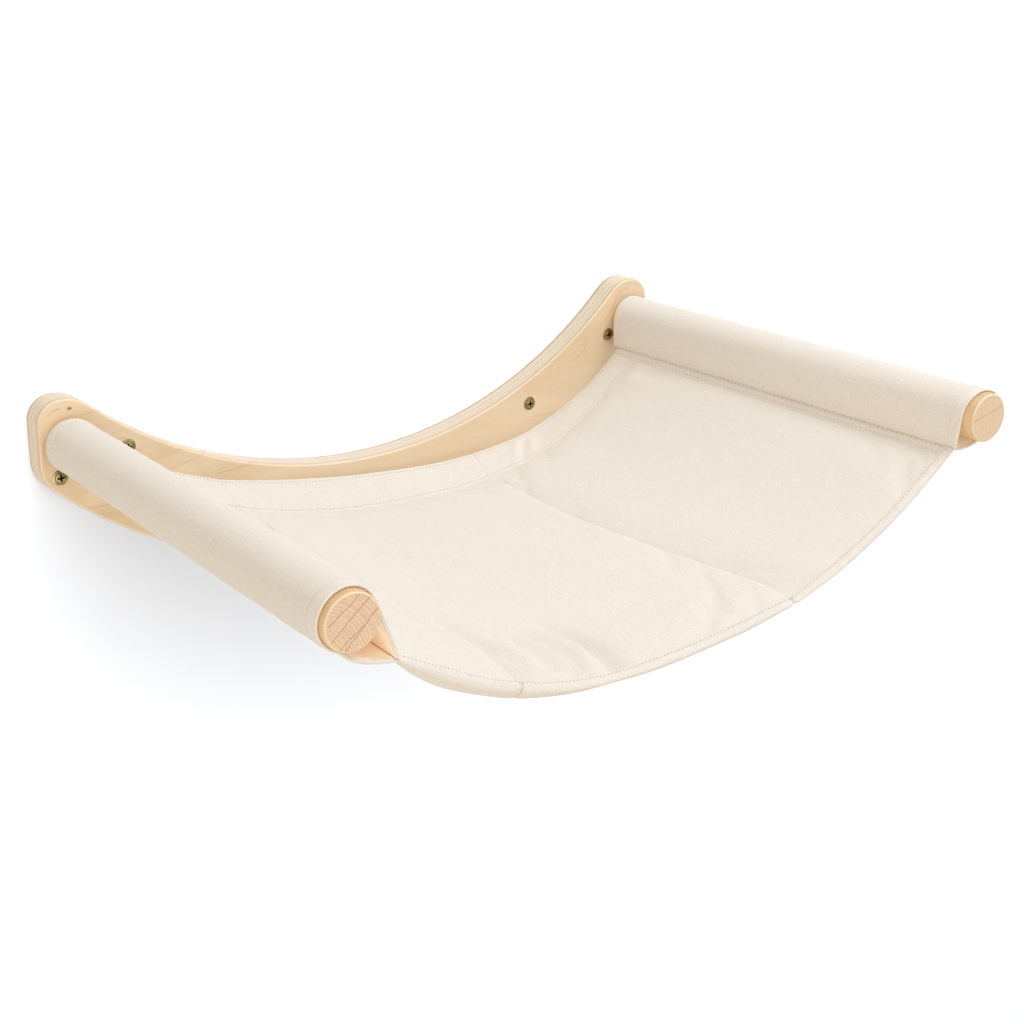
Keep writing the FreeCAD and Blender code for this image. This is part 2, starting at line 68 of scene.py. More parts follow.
# Sling: where it starts and ends, and its sleeves with tails that differ from front to back
CLOTH = 1.2
SLING_BACK_Y = -21.0
SLING_FRONT_Y = -344.5
SLING_ENDS_Y = (SLING_FRONT_Y, SLING_BACK_Y)
SLEEVE_RADIUS = 16.1
SLEEVE_SLOPE = {-1: (48.5, 46.0), 1: (46.0, 46.0)}
SLEEVE_TAIL = {-1: (41.0, 26.0), 1: (25.0, 25.0)}
SLEEVE_BACK_SLANT = 2.5
SLEEVE_MOUTH_Y = -349.0
SLEEVE_MOUTH_SLANT = 4.5
SLEEVE_HEM = {-1: 8.0, 1: 6.5}
SLEEVE_SLACK = {-1: 4.2, 1: 1.6}
SLEEVE_FLAT_POINTS = 14
SLEEVE_ROUND_POINTS = 44
SLEEVE_STITCH_MARGIN = 4
SLEEVE_END_SHARE = 0.045
SLEEVE_LIP_RADIUS = 1.15
SLEEVE_LIP_OFFSET = 0.3
SLEEVE_LIP_TWIST = 1.6
# Where the painted warm shade inside the sleeves starts and where it is full, from the mouth inwards
LINING_PALE_Y = -347.0
LINING_WARM_SHADE_Y = -318.0

# Tapes between the sleeves and the panels
TAPE_WIDTH = 7.0
TAPE_SLEEVE_TUCK = 0.3
TAPE_PANEL_TUCK = 1.3
TAPE_HALF = 1.3
TAPE_SLOPE = math.radians(37.0)
TAPE_BACK_Y = -29.0
TAPE_FRONT_Y = -341.0
TAPE_STITCHES = (1.3, 5.7)
TAPE_ROWS = 130

# Panels between the hem's stitch line and the binding, and the hem
SEAM_Y = (-344.5, -334.0, -309.0, -284.5, -262.0, -241.0, -220.0, -180.0, -128.0, -60.0, -21.0)
LEFT_SEAM_X = (-122.0, -120.0, -114.3, -110.5, -113.5, -120.5, -126.0, -128.0, -131.0, -132.0, -127.0)
RIGHT_SEAM_X = (71.0, 71.4, 70.5, 68.0, 66.0, 64.0, 62.3, 60.0, 59.5, 64.0, 71.0)
PANEL_BACK_Y = -50.0
PANEL_FRONT_Y = -339.5
PANEL_THICKNESS = 10.1
PANEL_STEP = 3.2
PANEL_ROWS = 84
PANEL_SLACK_FILL = 0.8
SEAM_SOFTENING = 12.0
SEAM_LAPS = (0.0, 2.4, 0.8, 0.0)
HEM_SHOULDER = 24.0
FRONT_SHOULDER = 20.0
FOLD_FADE = 7.0
HEM_CORNER_RUN = 60.0
HEM_CORNER_SLANT = {-1: 1.0, 1: 9.0}
HEM_STITCHES = (-47.6, -24.6)
HEM_TUCK = 0.5
HEM_STEP = 2.4

# Cloth simulation that blows the panels up, with its result capped in mm
CLOTH_FRAMES = 20
CLOTH_CAP = 2.0
CLOTH_SETTINGS = {
    "vertex_group_mass": "sewn", "quality": 6, "mass": 0.2, "tension_stiffness": 18,
    "compression_stiffness": 18, "shear_stiffness": 8, "bending_stiffness": 0.6, "shrink_min": -0.012,
    "use_pressure": True, "uniform_pressure_force": 4.0,
}

# Half thickness of each panel at its left and right edges from front to back, and how far in it is drawn
# from there: at both seams the panel on the left lies higher
HEM_RIM = 1.2
RIM_Y = (-339.5, -262.0, -190.0)
PANEL_RIMS = {
    "left": (((1.1, 1.1, 1.1), 18.0), ((4.4, 4.4, 4.4), 7.0)),
    "centre": (((1.2, 2.0, 4.3), 26.0), ((4.2, 4.2, 4.2), 5.0)),
    "right": (((0.6, 0.6, 0.6), 32.0), ((1.1, 1.1, 1.1), 18.0)),
}

# Bound front edge: half thickness and shift of its middle along x, drawn in at the pleat and the right seam
BINDING_NOSE = 3.6
BINDING_FLAT = 3.2
BINDING_CLOTH = 0.8
BINDING_X = (-193.0, -189.0, -182.0, -166.0, -123.0, -95.0, -62.0, -30.0, 59.0, 73.0, 87.0, 140.0, 190.0,
             202.0)
BINDING_HALF = (1.4, 2.0, 3.4, 5.2, 4.1, 3.7, 2.2, 2.9, 2.6, 1.7, 2.4, 2.7, 2.4, 1.6)
BINDING_SHIFT = (0.0, -0.2, -0.8, -0.8, -0.8, -0.6, 0.4, 0.4, 0.0, -0.9, 0.0, 1.2, 1.0, 0.0)
BINDING_UNDERCUT = 1.8
BINDING_SKEW = 0.4
BINDING_SOFTENING = 5.0
BINDING_STEP = 2.2

# Hanging curve: sag in mm and lean as a share, at the front, the hem's stitch line and the back edge
HANG_POWER = 2.5
HANG_Y = (SLING_FRONT_Y, PANEL_BACK_Y, SLING_BACK_Y)
HANG_SAG = (58.5, 61.0, 47.0)
HANG_LEAN = (-0.05, 0.21, 0.48)
BACK_LIFT_X = (-196.0, -168.0, -127.0, -60.0, 87.0, 132.0, 197.0)
BACK_LIFT = (0.0, 3.6, -1.2, 0.0, -0.6, -3.6, 0.0)
BACK_LIFT_RUN = 40.0
BACK_LIFT_SOFTENING = 8.0

# Sewing thread: each stitch is an arch of rings, by their place along it, width and rise as shares
STITCH_PITCH = 2.6
TAPE_STITCH_PITCH = 3.8
STITCH_SHARE = 0.52
STITCH_WIDTH = 0.48
STITCH_SIDES = 6
STITCH_ARCH = ((-0.5, 0.35, -0.25), (-0.25, 0.95, 0.2), (0.25, 0.95, 0.2), (0.5, 0.35, -0.25))

# Camera, fitted to the dowel ends, the sleeves and the plate's edge
CAMERA_PLACE = (-0.5392, -0.9347, 0.3947)
CAMERA_AZIMUTH = math.radians(-35.15)
CAMERA_ELEVATION = math.radians(21.12)
CAMERA_ROLL = math.radians(-2.32)
CAMERA_LENS = 56.64
CAMERA_SENSOR = 36.0

# Stage: light from all round, a wall and a floor, and what they add for the eye so that they read white
FLOOR_Z = -1.3
WALL_Y = 0.001
STAGE_REACH = 12.0
WORLD_LIGHT = 0.745
WORLD_TINT = (1.0, 0.92, 0.80, 1)
FLOOR_COLOUR = (0.8, 0.8, 0.8, 1)
FLOOR_GLOW = 0.4
WALL_COLOUR = (0.77, 0.85, 1.0, 1)
WALL_GLOW = 0.05

# Lamps: place, target and size in metres, power in watts, and colour
LAMPS = {
    "overhead_softbox": ((0.81, -0.71, 1.56), (0.0, -0.2, 0.0), 0.8, 17.0, (0.82, 0.91, 1.0)),
    "low_fill": ((-1.3, -1.5, -0.35), (0.0, -0.15, 0.05), 1.6, 9.0, (1.0, 0.90, 0.76)),
    "wall_wash": ((-0.1, -2.5, 1.0), (0.0, 0.0, 0.0), 1.8, 58.0, (1.0, 0.91, 0.78)),
}

SIDES = (("left", -1), ("right", 1))
PANELS = ("left", "centre", "right")
SCREWS = [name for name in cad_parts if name.endswith("_screw")]

# Grain marks on the plate's face and checks on the left dowel's end: x and z of the points of each
FACE_MARKS = (
    ((-231.9, 110.4), (-228.0, 112.6), (-223.8, 113.4)),
    ((-210.0, 107.0), (-199.0, 106.6)),
    ((-206.7, 87.5), (-185.5, 86.6)),
    ((-214.0, 46.3), (-193.3, 46.1)),
    ((-127.0, 48.2), (-92.7, 49.9)),
    ((221.7, 112.7), (214.0, 111.0), (210.0, 108.0), (206.5, 101.0), (202.5, 95.5), (198.2, 91.0)),
    ((181.1, 78.0), (178.5, 73.5), (174.9, 70.1), (166.2, 66.4)),
)
END_CHECKS = {
    "left": (((-12.6, 1.4), (4.7, 12.9)), ((-12.7, -6.9), (9.8, 10.2)), ((-5.8, -13.3), (13.5, 3.7)),
             ((-8.1, -11.3), (5.3, -2.8))),
    "right": (((-14.0, 0.2), (11.2, 5.3)),),
}


# Mesh helpers

def add_object(name, data):
    made = bpy.data.objects.new(name, data)
    bpy.context.scene.collection.objects.link(made)
    return made


def new_piece(name, points, faces, material, body="sling"):
    """A smooth-shaded mesh piece from points in mm, riding on a body."""
    mesh = bpy.data.meshes.new(name)
    mesh.from_pydata((np.asarray(points, float) * MM).tolist(), [], faces)
    work = bmesh.new()
    work.from_mesh(mesh)
    bmesh.ops.recalc_face_normals(work, faces=work.faces)
    work.to_mesh(mesh)
    work.free()
    mesh.polygons.foreach_set("use_smooth", [True] * len(mesh.polygons))
    mesh.materials.append(material)
    piece = add_object(name, mesh)
    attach(piece, body)
    return piece


def add_modifier(piece, kind, **settings):
    modifier = piece.modifiers.new(kind.lower(), kind)
    for name, value in settings.items():
        setattr(modifier, name, value)
    return modifier


def subdivide(piece):
    return add_modifier(piece, "SUBSURF", levels=1, render_levels=1)


def mesh_points(mesh):
    return np.array([vertex.co for vertex in mesh.vertices])


def move_points(piece, points):
    piece.data.vertices.foreach_set("co", points.astype(np.float32).ravel())
    piece.data.update()


def grid_faces(rows, columns, start=0, wrap=False):
    """Quads of a grid of points stored row by row; wrap joins the last column to the first."""
    faces = []
    for row in range(rows - 1):
        for column in range(columns if wrap else columns - 1):
            after = (column + 1) % columns
            low, high = start + row * columns, start + (row + 1) * columns
            faces.append((low + column, low + after, high + after, high + column))
    return faces


def loft(rings):
    """Points and faces of a closed bar through rings of points, with a flat cap at each end."""
    rings = np.asarray(rings, float)
    rows, columns = rings.shape[:2]
    faces = grid_faces(rows, columns, wrap=True)
    faces.append(tuple(range(columns)))
    faces.append(tuple(range((rows - 1) * columns, rows * columns)))
    return rings.reshape(-1, 3), faces


def smooth_step(value):
    value = np.clip(value, 0, 1)
    return value * value * (3 - 2 * value)


def softened(x, places, values, reach, count):
    """Value of a table at x, averaged over a reach to both sides."""
    steps = np.linspace(-reach, reach, count)
    return np.mean([np.interp(x + step, places, values) for step in steps], axis=0)


def path_run(points):
    """Distance along a path at each of its points."""
    return np.concatenate([[0], np.cumsum(np.linalg.norm(np.diff(points, axis=0), axis=1))])


def run_length(points):
    """Length of a path through points."""
    return float(path_run(points)[-1])


def at_run(places, run, values):
    """Values of a path at distances along it."""
    return np.stack([np.interp(places, run, values[:, axis]) for axis in range(3)], -1)


def beside_path(line):
    """Unit vectors square to a flat path."""
    ahead = np.gradient(line, axis=0)
    return np.stack([-ahead[:, 1], ahead[:, 0]], -1) / np.linalg.norm(ahead, axis=1, keepdims=True)


def ripple(places, seed, count, longest, shortest):
    """Soft unevenness between about -1 and 1 from a few sine waves in seeded directions."""
    draw = np.random.default_rng(seed)
    total = np.zeros(places.shape[:-1])
    for wave in range(count):
        length = longest * (shortest / longest) ** (wave / max(count - 1, 1))
        way = draw.normal(size=places.shape[-1])
        way /= np.linalg.norm(way)
        total += np.sin(2 * math.pi * (places @ way) / length + draw.uniform(0, 2 * math.pi)) / (wave + 2)
    return total


# The hanging curve that every piece of the sling follows

def tail_hang(side, y):
    """How far a sleeve's tail reaches from its dowel's axis, and the angle at which it hangs."""
    slope = np.radians(np.interp(y, SLING_ENDS_Y, SLEEVE_SLOPE[side]))
    return np.interp(y, SLING_ENDS_Y, SLEEVE_TAIL[side]), slope


def tail_end(side, y):
    """X and Z of a sleeve's tail."""
    reach, slope = tail_hang(side, y)
    return side * (DOWEL_X - reach * np.cos(slope)), DOWEL_Z - reach * np.sin(slope)


def sling_end(side, y):
    """X and Z where a panel starts, past the tape."""
    x, z = tail_end(side, y)
    return x - side * TAPE_WIDTH * math.cos(TAPE_SLOPE), z - TAPE_WIDTH * math.sin(TAPE_SLOPE)


def seam(places, y):
    """X of a seam between two panels, which wanders a little."""
    return softened(y, SEAM_Y, places, SEAM_SOFTENING, 9)


def panel_bounds(word, y):
    """Lowest and highest x of a panel at y."""
    y = np.asarray(y, float)
    edges = (sling_end(-1, y)[0], seam(LEFT_SEAM_X, y), seam(RIGHT_SEAM_X, y), sling_end(1, y)[0])
    place = PANELS.index(word)
    return edges[place], edges[place + 1]


def from_joint(x, y):
    """Distance along x to the nearer seam."""
    return np.minimum(np.abs(x - seam(LEFT_SEAM_X, y)), np.abs(x - seam(RIGHT_SEAM_X, y)))


def hang_height(x, y):
    """Z of the hanging curve."""
    left_x, left_z = sling_end(-1, y)
    right_x, right_z = sling_end(1, y)
    place = (2 * x - right_x - left_x) / (right_x - left_x)
    sag = np.interp(y, HANG_Y, HANG_SAG)
    lean = np.interp(y, HANG_Y, HANG_LEAN)
    droop = 1 - np.abs(np.clip(place, -1, 1)) ** HANG_POWER
    lift = softened(x, BACK_LIFT_X, BACK_LIFT, BACK_LIFT_SOFTENING, 9)
    lift = lift * smooth_step(1 - (SLING_BACK_Y - y) / BACK_LIFT_RUN)
    return (left_z + right_z) / 2 + place * (right_z - left_z) / 2 - sag * droop * (1 + lean * place) + lift


def lifted(x, y, rise):
    """Points at a rise above the hanging curve, square to it."""
    x, y, rise = np.broadcast_arrays(np.asarray(x, float), np.asarray(y, float), np.asarray(rise, float))
    step = 0.5
    low = np.clip(x - step, sling_end(-1, y)[0], sling_end(1, y)[0] - 2 * step)
    slope = (hang_height(low + 2 * step, y) - hang_height(low, y)) / (2 * step)
    length = np.sqrt(1 + slope ** 2)
    return np.stack([x - slope / length * rise, y, hang_height(x, y) + rise / length], -1)


def binding_shape(x):
    """Half thickness of the bound front edge and the shift of its middle, softened along x."""
    return [softened(x, BINDING_X, values, BINDING_SOFTENING, 7) for values in (BINDING_HALF, BINDING_SHIFT)]


# Material helpers

class Net:
    """Adds nodes to a node tree and wires them as they are made."""

    def __init__(self, tree):
        self.tree = tree

    def wire(self, value, socket):
        """Links a node's output to a socket, or gives the socket a fixed value."""
        if isinstance(value, bpy.types.NodeSocket):
            self.tree.links.new(value, socket)
        else:
            socket.default_value = value

    def add(self, kind, wires=None, **settings):
        made = self.tree.nodes.new("ShaderNode" + kind)
        for name, value in settings.items():
            setattr(made, name, value)
        for socket, value in (wires or {}).items():
            self.wire(value, made.inputs[socket])
        return made

    def math(self, operation, first, second=0.0, third=0.0):
        return self.add("Math", {0: first, 1: second, 2: third}, operation=operation).outputs[0]

    def vector(self, operation, first, second):
        return self.add("VectorMath", {0: first, 1: second}, operation=operation).outputs[0]

    def measure(self, operation, first, second=(0.0, 0.0, 0.0)):
        """A vector operation whose result is one number."""
        return self.add("VectorMath", {0: first, 1: second}, operation=operation).outputs["Value"]

    def apart(self, first, second):
        """Distance between two places."""
        return self.measure("LENGTH", self.vector("SUBTRACT", first, second))

    def axis(self, vector, name):
        return self.add("SeparateXYZ", {0: vector}).outputs[name]

    def ramp(self, value, low, high, to_low=0.0, to_high=1.0):
        """Smooth change from one value to another as the input goes from low to high."""
        made = self.add("MapRange", {"Value": value, "From Min": low, "From Max": high,
                                     "To Min": to_low, "To Max": to_high}, interpolation_type="SMOOTHSTEP")
        return made.outputs[0]

    def noise(self, vector, scale, detail=2.0, roughness=0.5):
        return self.add("TexNoise", {"Vector": vector, "Scale": scale, "Detail": detail,
                                     "Roughness": roughness}).outputs["Fac"]

    def drawn_noise(self, vector, stretch, detail=2.0, roughness=0.5):
        """Noise with a scale for each axis."""
        return self.noise(self.vector("MULTIPLY", vector, stretch), 1.0, detail, roughness)

    def waver(self, vector, source, scale, reach):
        """A place pushed about along X and Z by noise."""
        push = self.add("TexNoise", {"Vector": source, "Scale": scale, "Detail": 2.0}).outputs["Color"]
        push = self.vector("SUBTRACT", push, (0.5, 0.5, 0.5))
        return self.vector("ADD", vector, self.vector("MULTIPLY", push, (reach, 0.0, reach)))

    def mix(self, share, first, second):
        return self.add("Mix", {0: share, 6: first, 7: second}, data_type="RGBA").outputs[2]

    def tint(self, base, share, strength, colour):
        """A colour laid over a base, by a share times a strength."""
        return self.mix(self.math("MULTIPLY", share, strength), base, colour)

    def group(self, tree, wires):
        return self.add("Group", wires, node_tree=tree).outputs


def node_group(name, inputs, outputs):
    """An empty group with its net and sockets; inputs set to None are vectors, and all others are numbers."""
    tree = bpy.data.node_groups.new(name, "ShaderNodeTree")
    for socket, value in inputs.items():
        kind = "NodeSocketVector" if value is None else "NodeSocketFloat"
        made = tree.interface.new_socket(socket, in_out="INPUT", socket_type=kind)
        if value is not None:
            made.default_value = value
    for socket in outputs:
        tree.interface.new_socket(socket, in_out="OUTPUT", socket_type="NodeSocketFloat")
    entry = tree.nodes.new("NodeGroupInput")
    leave = tree.nodes.new("NodeGroupOutput")
    return tree, Net(tree), entry.outputs, leave.inputs


def new_material(name):
    """A material with a Principled shader, its net and its object coordinates."""
    material = bpy.data.materials.new(name)
    material.use_nodes = True
    net = Net(material.node_tree)
    shader = material.node_tree.nodes["Principled BSDF"]
    place = net.add("TexCoord").outputs["Object"]
    return material, net, shader, place


def set_bump(net, shader, height, distance):
    bump = net.add("Bump", {"Height": height, "Distance": distance, "Strength": 1.0})
    net.wire(bump.outputs[0], shader.inputs["Normal"])


def set_shader(net, shader, **values):
    for name, value in values.items():
        net.wire(value, shader.inputs[name.replace("_", " ")])


def screw_middle(name):
    """Where a screw's axis meets the wall, in metres."""
    low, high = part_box(name)
    return (low.x + high.x) / 2, 0.0, (low.z + high.z) / 2


# Shared effects

def brushed_nap_group():
    """Short brushed fibres that swirl over the cloth, with a broad unevenness."""
    tree, net, entry, leave = node_group("brushed_nap", {"Vector": None}, ("Shade", "Height", "Cloud"))
    swirl = net.noise(entry["Vector"], 62.0, 1.5)
    strokes = net.math("SINE", net.math("MULTIPLY", swirl, 130.0))
    broken = net.noise(entry["Vector"], 1300.0, 2.0, 0.6)
    pile = net.noise(entry["Vector"], 2600.0, 1.0)
    cloud = net.noise(entry["Vector"], 24.0)
    fine = net.math("MULTIPLY_ADD", strokes, 0.08, net.math("MULTIPLY", broken, 0.6))
    fine = net.math("MULTIPLY_ADD", pile, 0.4, fine)
    net.wire(net.ramp(fine, 0.3, 0.7), leave["Shade"])
    net.wire(fine, leave["Height"])
    net.wire(net.ramp(cloud, 0.3, 0.7), leave["Cloud"])
    return tree


def wood_figure_group():
    """Wood along X: broad figure, fine pores and sparse thin streaks."""
    tree, net, entry, leave = node_group("wood_figure", {"Vector": None}, ("Figure", "Pores", "Streak"))
    warp = net.add("TexNoise", {"Vector": entry["Vector"], "Scale": 9.0, "Detail": 2.0}).outputs["Color"]
    bent = net.vector("ADD", entry["Vector"], net.vector("MULTIPLY", warp, (0.0, 0.03, 0.03)))
    lines = net.drawn_noise(bent, (2.5, 120.0, 120.0), 1.0, 0.4)
    near = net.math("ABSOLUTE", net.math("SUBTRACT", lines, 0.5))
    sparse = net.noise(net.vector("MULTIPLY", entry["Vector"], (0.3, 1.0, 1.0)), 40.0, 1.0)
    thin = net.math("MULTIPLY", net.ramp(near, 0.0, 0.035, 1.0, 0.0), net.ramp(sparse, 0.42, 0.6))
    net.wire(net.drawn_noise(bent, (5.0, 46.0, 46.0), 3.0, 0.55), leave["Figure"])
    net.wire(net.drawn_noise(bent, (60.0, 1100.0, 1100.0), 2.0, 0.6), leave["Pores"])
    net.wire(thin, leave["Streak"])
    return tree


def ray_lines_group():
    """Thin broken lines at uneven spacing along one coordinate."""
    tree, net, entry, leave = node_group(
        "ray_lines", {"Across": 0.0, "Spacing": 200.0, "Width": 0.03, "Vector": None, "Breaks": 0.5},
        ("Line",))
    waver = net.noise(entry["Vector"], 160.0)
    across = net.math("MULTIPLY_ADD", net.math("SUBTRACT", waver, 0.5), 0.0008, entry["Across"])
    cells = net.add("TexVoronoi", {"W": across, "Scale": entry["Spacing"]},
                    voronoi_dimensions="1D", feature="DISTANCE_TO_EDGE").outputs["Distance"]
    line = net.ramp(net.math("DIVIDE", cells, entry["Width"]), 0.0, 1.0, 1.0, 0.0)
    broken = net.math("SUBTRACT", net.noise(entry["Vector"], 190.0), entry["Breaks"])
    net.wire(net.math("MULTIPLY", line, net.ramp(broken, -0.08, 0.08)), leave["Line"])
    return tree


def line_mark_group():
    """A thin soft line between two points."""
    tree, net, entry, leave = node_group(
        "line_mark", {"Vector": None, "From": None, "To": None, "Width": 0.001}, ("Line",))
    span = net.vector("SUBTRACT", entry["To"], entry["From"])
    arm = net.vector("SUBTRACT", entry["Vector"], entry["From"])
    share = net.math("DIVIDE", net.measure("DOT_PRODUCT", arm, span), net.measure("DOT_PRODUCT", span, span))
    share = net.add("Clamp", {"Value": share}).outputs[0]
    reached = net.add("VectorMath", {0: span, "Scale": share}, operation="SCALE").outputs[0]
    apart = net.math("DIVIDE", net.apart(arm, reached), entry["Width"])
    net.wire(net.ramp(apart, 0.25, 1.0, 1.0, 0.0), leave["Line"])
    return tree


BRUSHED_NAP = brushed_nap_group()
WOOD_FIGURE = wood_figure_group()
RAY_LINES = ray_lines_group()
LINE_MARK = line_mark_group()


def marks(net, vector, paths, width):
    """The strongest of several line marks, each a path of x and z in mm."""
    total = 0.0
    for path in paths:
        for (x0, z0), (x1, z1) in zip(path, path[1:]):
            line = net.group(LINE_MARK, {"Vector": vector, "From": (x0 * MM, 0, z0 * MM),
                                         "To": (x1 * MM, 0, z1 * MM), "Width": width})["Line"]
            total = net.math("MAXIMUM", line, total)
    return total


# Materials

def cloth_material(name, light, deep):
    """Brushed cloth."""
    material, net, shader, place = new_material(name)
    nap = net.group(BRUSHED_NAP, {"Vector": place})
    tone = net.math("MULTIPLY_ADD", nap["Shade"], 0.94, net.math("MULTIPLY", nap["Cloud"], 0.06))
    set_shader(net, shader, Base_Color=net.mix(tone, deep, light), Roughness=0.95, Sheen_Weight=0.1,
               Sheen_Roughness=0.6, Specular_IOR_Level=0.12)
    set_bump(net, shader, nap["Height"], 0.0003)
    return material


def glowing_lining_material():
    """Inside of the sleeves, with a painted glow for the light that comes through the cloth, and painted warm
    shade that deepens further in from the mouth.
    """
    material, net, shader, place = new_material("sleeve_lining_painted_glow")
    shade_further_in = net.ramp(net.axis(place, "Y"), LINING_PALE_Y * MM, LINING_WARM_SHADE_Y * MM)
    colour = net.mix(shade_further_in, (0.96, 0.88, 0.75, 1), (0.92, 0.70, 0.46, 1))
    # Painted glow: the lining emits its own colour in place of light coming through the cloth
    set_shader(net, shader, Base_Color=colour, Emission_Color=colour, Emission_Strength=0.2, Roughness=0.95,
               Specular_IOR_Level=0.12)
    return material


def thread_material(name, deep, light):
    material, net, shader, place = new_material(name)
    twist = net.noise(place, 2600.0, 1.0)
    set_shader(net, shader, Base_Color=net.mix(twist, deep, light), Roughness=0.8, Sheen_Weight=0.2)
    set_bump(net, shader, twist, 0.0002)
    return material


def plywood_material():
    """Birch faces with their grain along X, and the plies' ends on the edges, with painted highlights on the
    rounded edges and round the screw heads.
    """
    material, net, shader, place = new_material("birch_plywood")
    tilted = net.add("Mapping", {"Vector": place, "Rotation": (0.0, math.radians(-1.0), 0.0)}).outputs[0]
    wood = net.group(WOOD_FIGURE, {"Vector": tilted})
    face = net.mix(net.ramp(wood["Figure"], 0.3, 0.7), (0.80, 0.62, 0.415, 1), (0.86, 0.695, 0.495, 1))
    face = net.tint(face, net.ramp(wood["Pores"], 0.5, 0.75), 0.2, (0.68, 0.47, 0.26, 1))
    face = net.tint(face, wood["Streak"], 0.35, (0.74, 0.52, 0.29, 1))
    flat = net.vector("MULTIPLY", place, (1.0, 0.0, 1.0))
    wavy = net.waver(flat, place, 130.0, 0.0015)
    face = net.tint(face, marks(net, wavy, FACE_MARKS, 0.0011), 0.42, (0.70, 0.44, 0.20, 1))
    knot_place = net.vector("SUBTRACT", flat, (-0.2175, 0.0, 0.1123))
    knot_size = net.measure("LENGTH", net.vector("MULTIPLY", knot_place, (1.0, 1.0, 1.5)))
    face = net.mix(net.ramp(knot_size, 0.0006, 0.0021, 0.9, 0.0), face, (0.30, 0.10, 0.02, 1))
    # Painted highlight: a pale ring on the countersink's edge round each screw head
    margin = SCREW_HEAD_RADIUS * MM
    for name in SCREWS:
        apart = net.apart(flat, screw_middle(name))
        ring = net.math("MULTIPLY", net.ramp(apart, margin, margin * 1.06),
                        net.ramp(apart, margin * 1.1, margin * 1.22, 0.6, 0.0))
        face = net.mix(ring, face, (0.96, 0.86, 0.70, 1))

    depth = net.axis(place, "Y")
    ply = net.math("MULTIPLY", depth, -PLY_COUNT / (PLATE_THICKNESS * MM))
    ply = net.math("MULTIPLY_ADD", net.math("SUBTRACT", net.noise(place, 60.0, 1.0), 0.5), 0.12, ply)
    along = net.drawn_noise(place, (70.0, 800.0, 70.0))
    edge = net.mix(along, (0.84, 0.73, 0.59, 1), (0.93, 0.86, 0.76, 1))
    cross_ply = net.ramp(net.math("PINGPONG", ply, 1.0), 0.35, 0.65, 0.0, 0.28)
    edge = net.mix(cross_ply, edge, (0.60, 0.44, 0.29, 1))
    to_glue = net.math("PINGPONG", net.math("ADD", ply, 0.5), 0.5)
    glue = net.ramp(net.math("SUBTRACT", 0.5, to_glue), 0.06, 0.24, 0.65, 0.0)
    edge = net.mix(glue, edge, (0.50, 0.33, 0.19, 1))
    half = PLATE_THICKNESS / 2
    from_middle = net.math("ABSOLUTE", net.math("ADD", depth, half * MM))
    outer = net.ramp(from_middle, (half - 2.9) * MM, (half - 2.2) * MM, 0.0, 0.7)
    edge = net.mix(outer, edge, (0.60, 0.39, 0.21, 1))

    facing = net.math("ABSOLUTE", net.axis(net.add("NewGeometry").outputs["Normal"], "Y"))
    # Painted highlight: a pale band on the rounded edges, where the face turns into the plies
    rim = net.math("MULTIPLY", net.ramp(facing, 0.5, 0.75), net.ramp(facing, 0.9, 0.99, 1.0, 0.0))
    colour = net.mix(net.ramp(facing, 0.3, 0.6), edge, face)
    colour = net.tint(colour, rim, 0.3, (0.94, 0.84, 0.68, 1))
    set_shader(net, shader, Base_Color=colour, Roughness=net.ramp(wood["Pores"], 0.3, 0.7, 0.42, 0.58),
               Coat_Weight=0.1, Coat_Roughness=0.35)
    set_bump(net, shader, net.math("ADD", wood["Pores"], along), 0.00006)
    return material


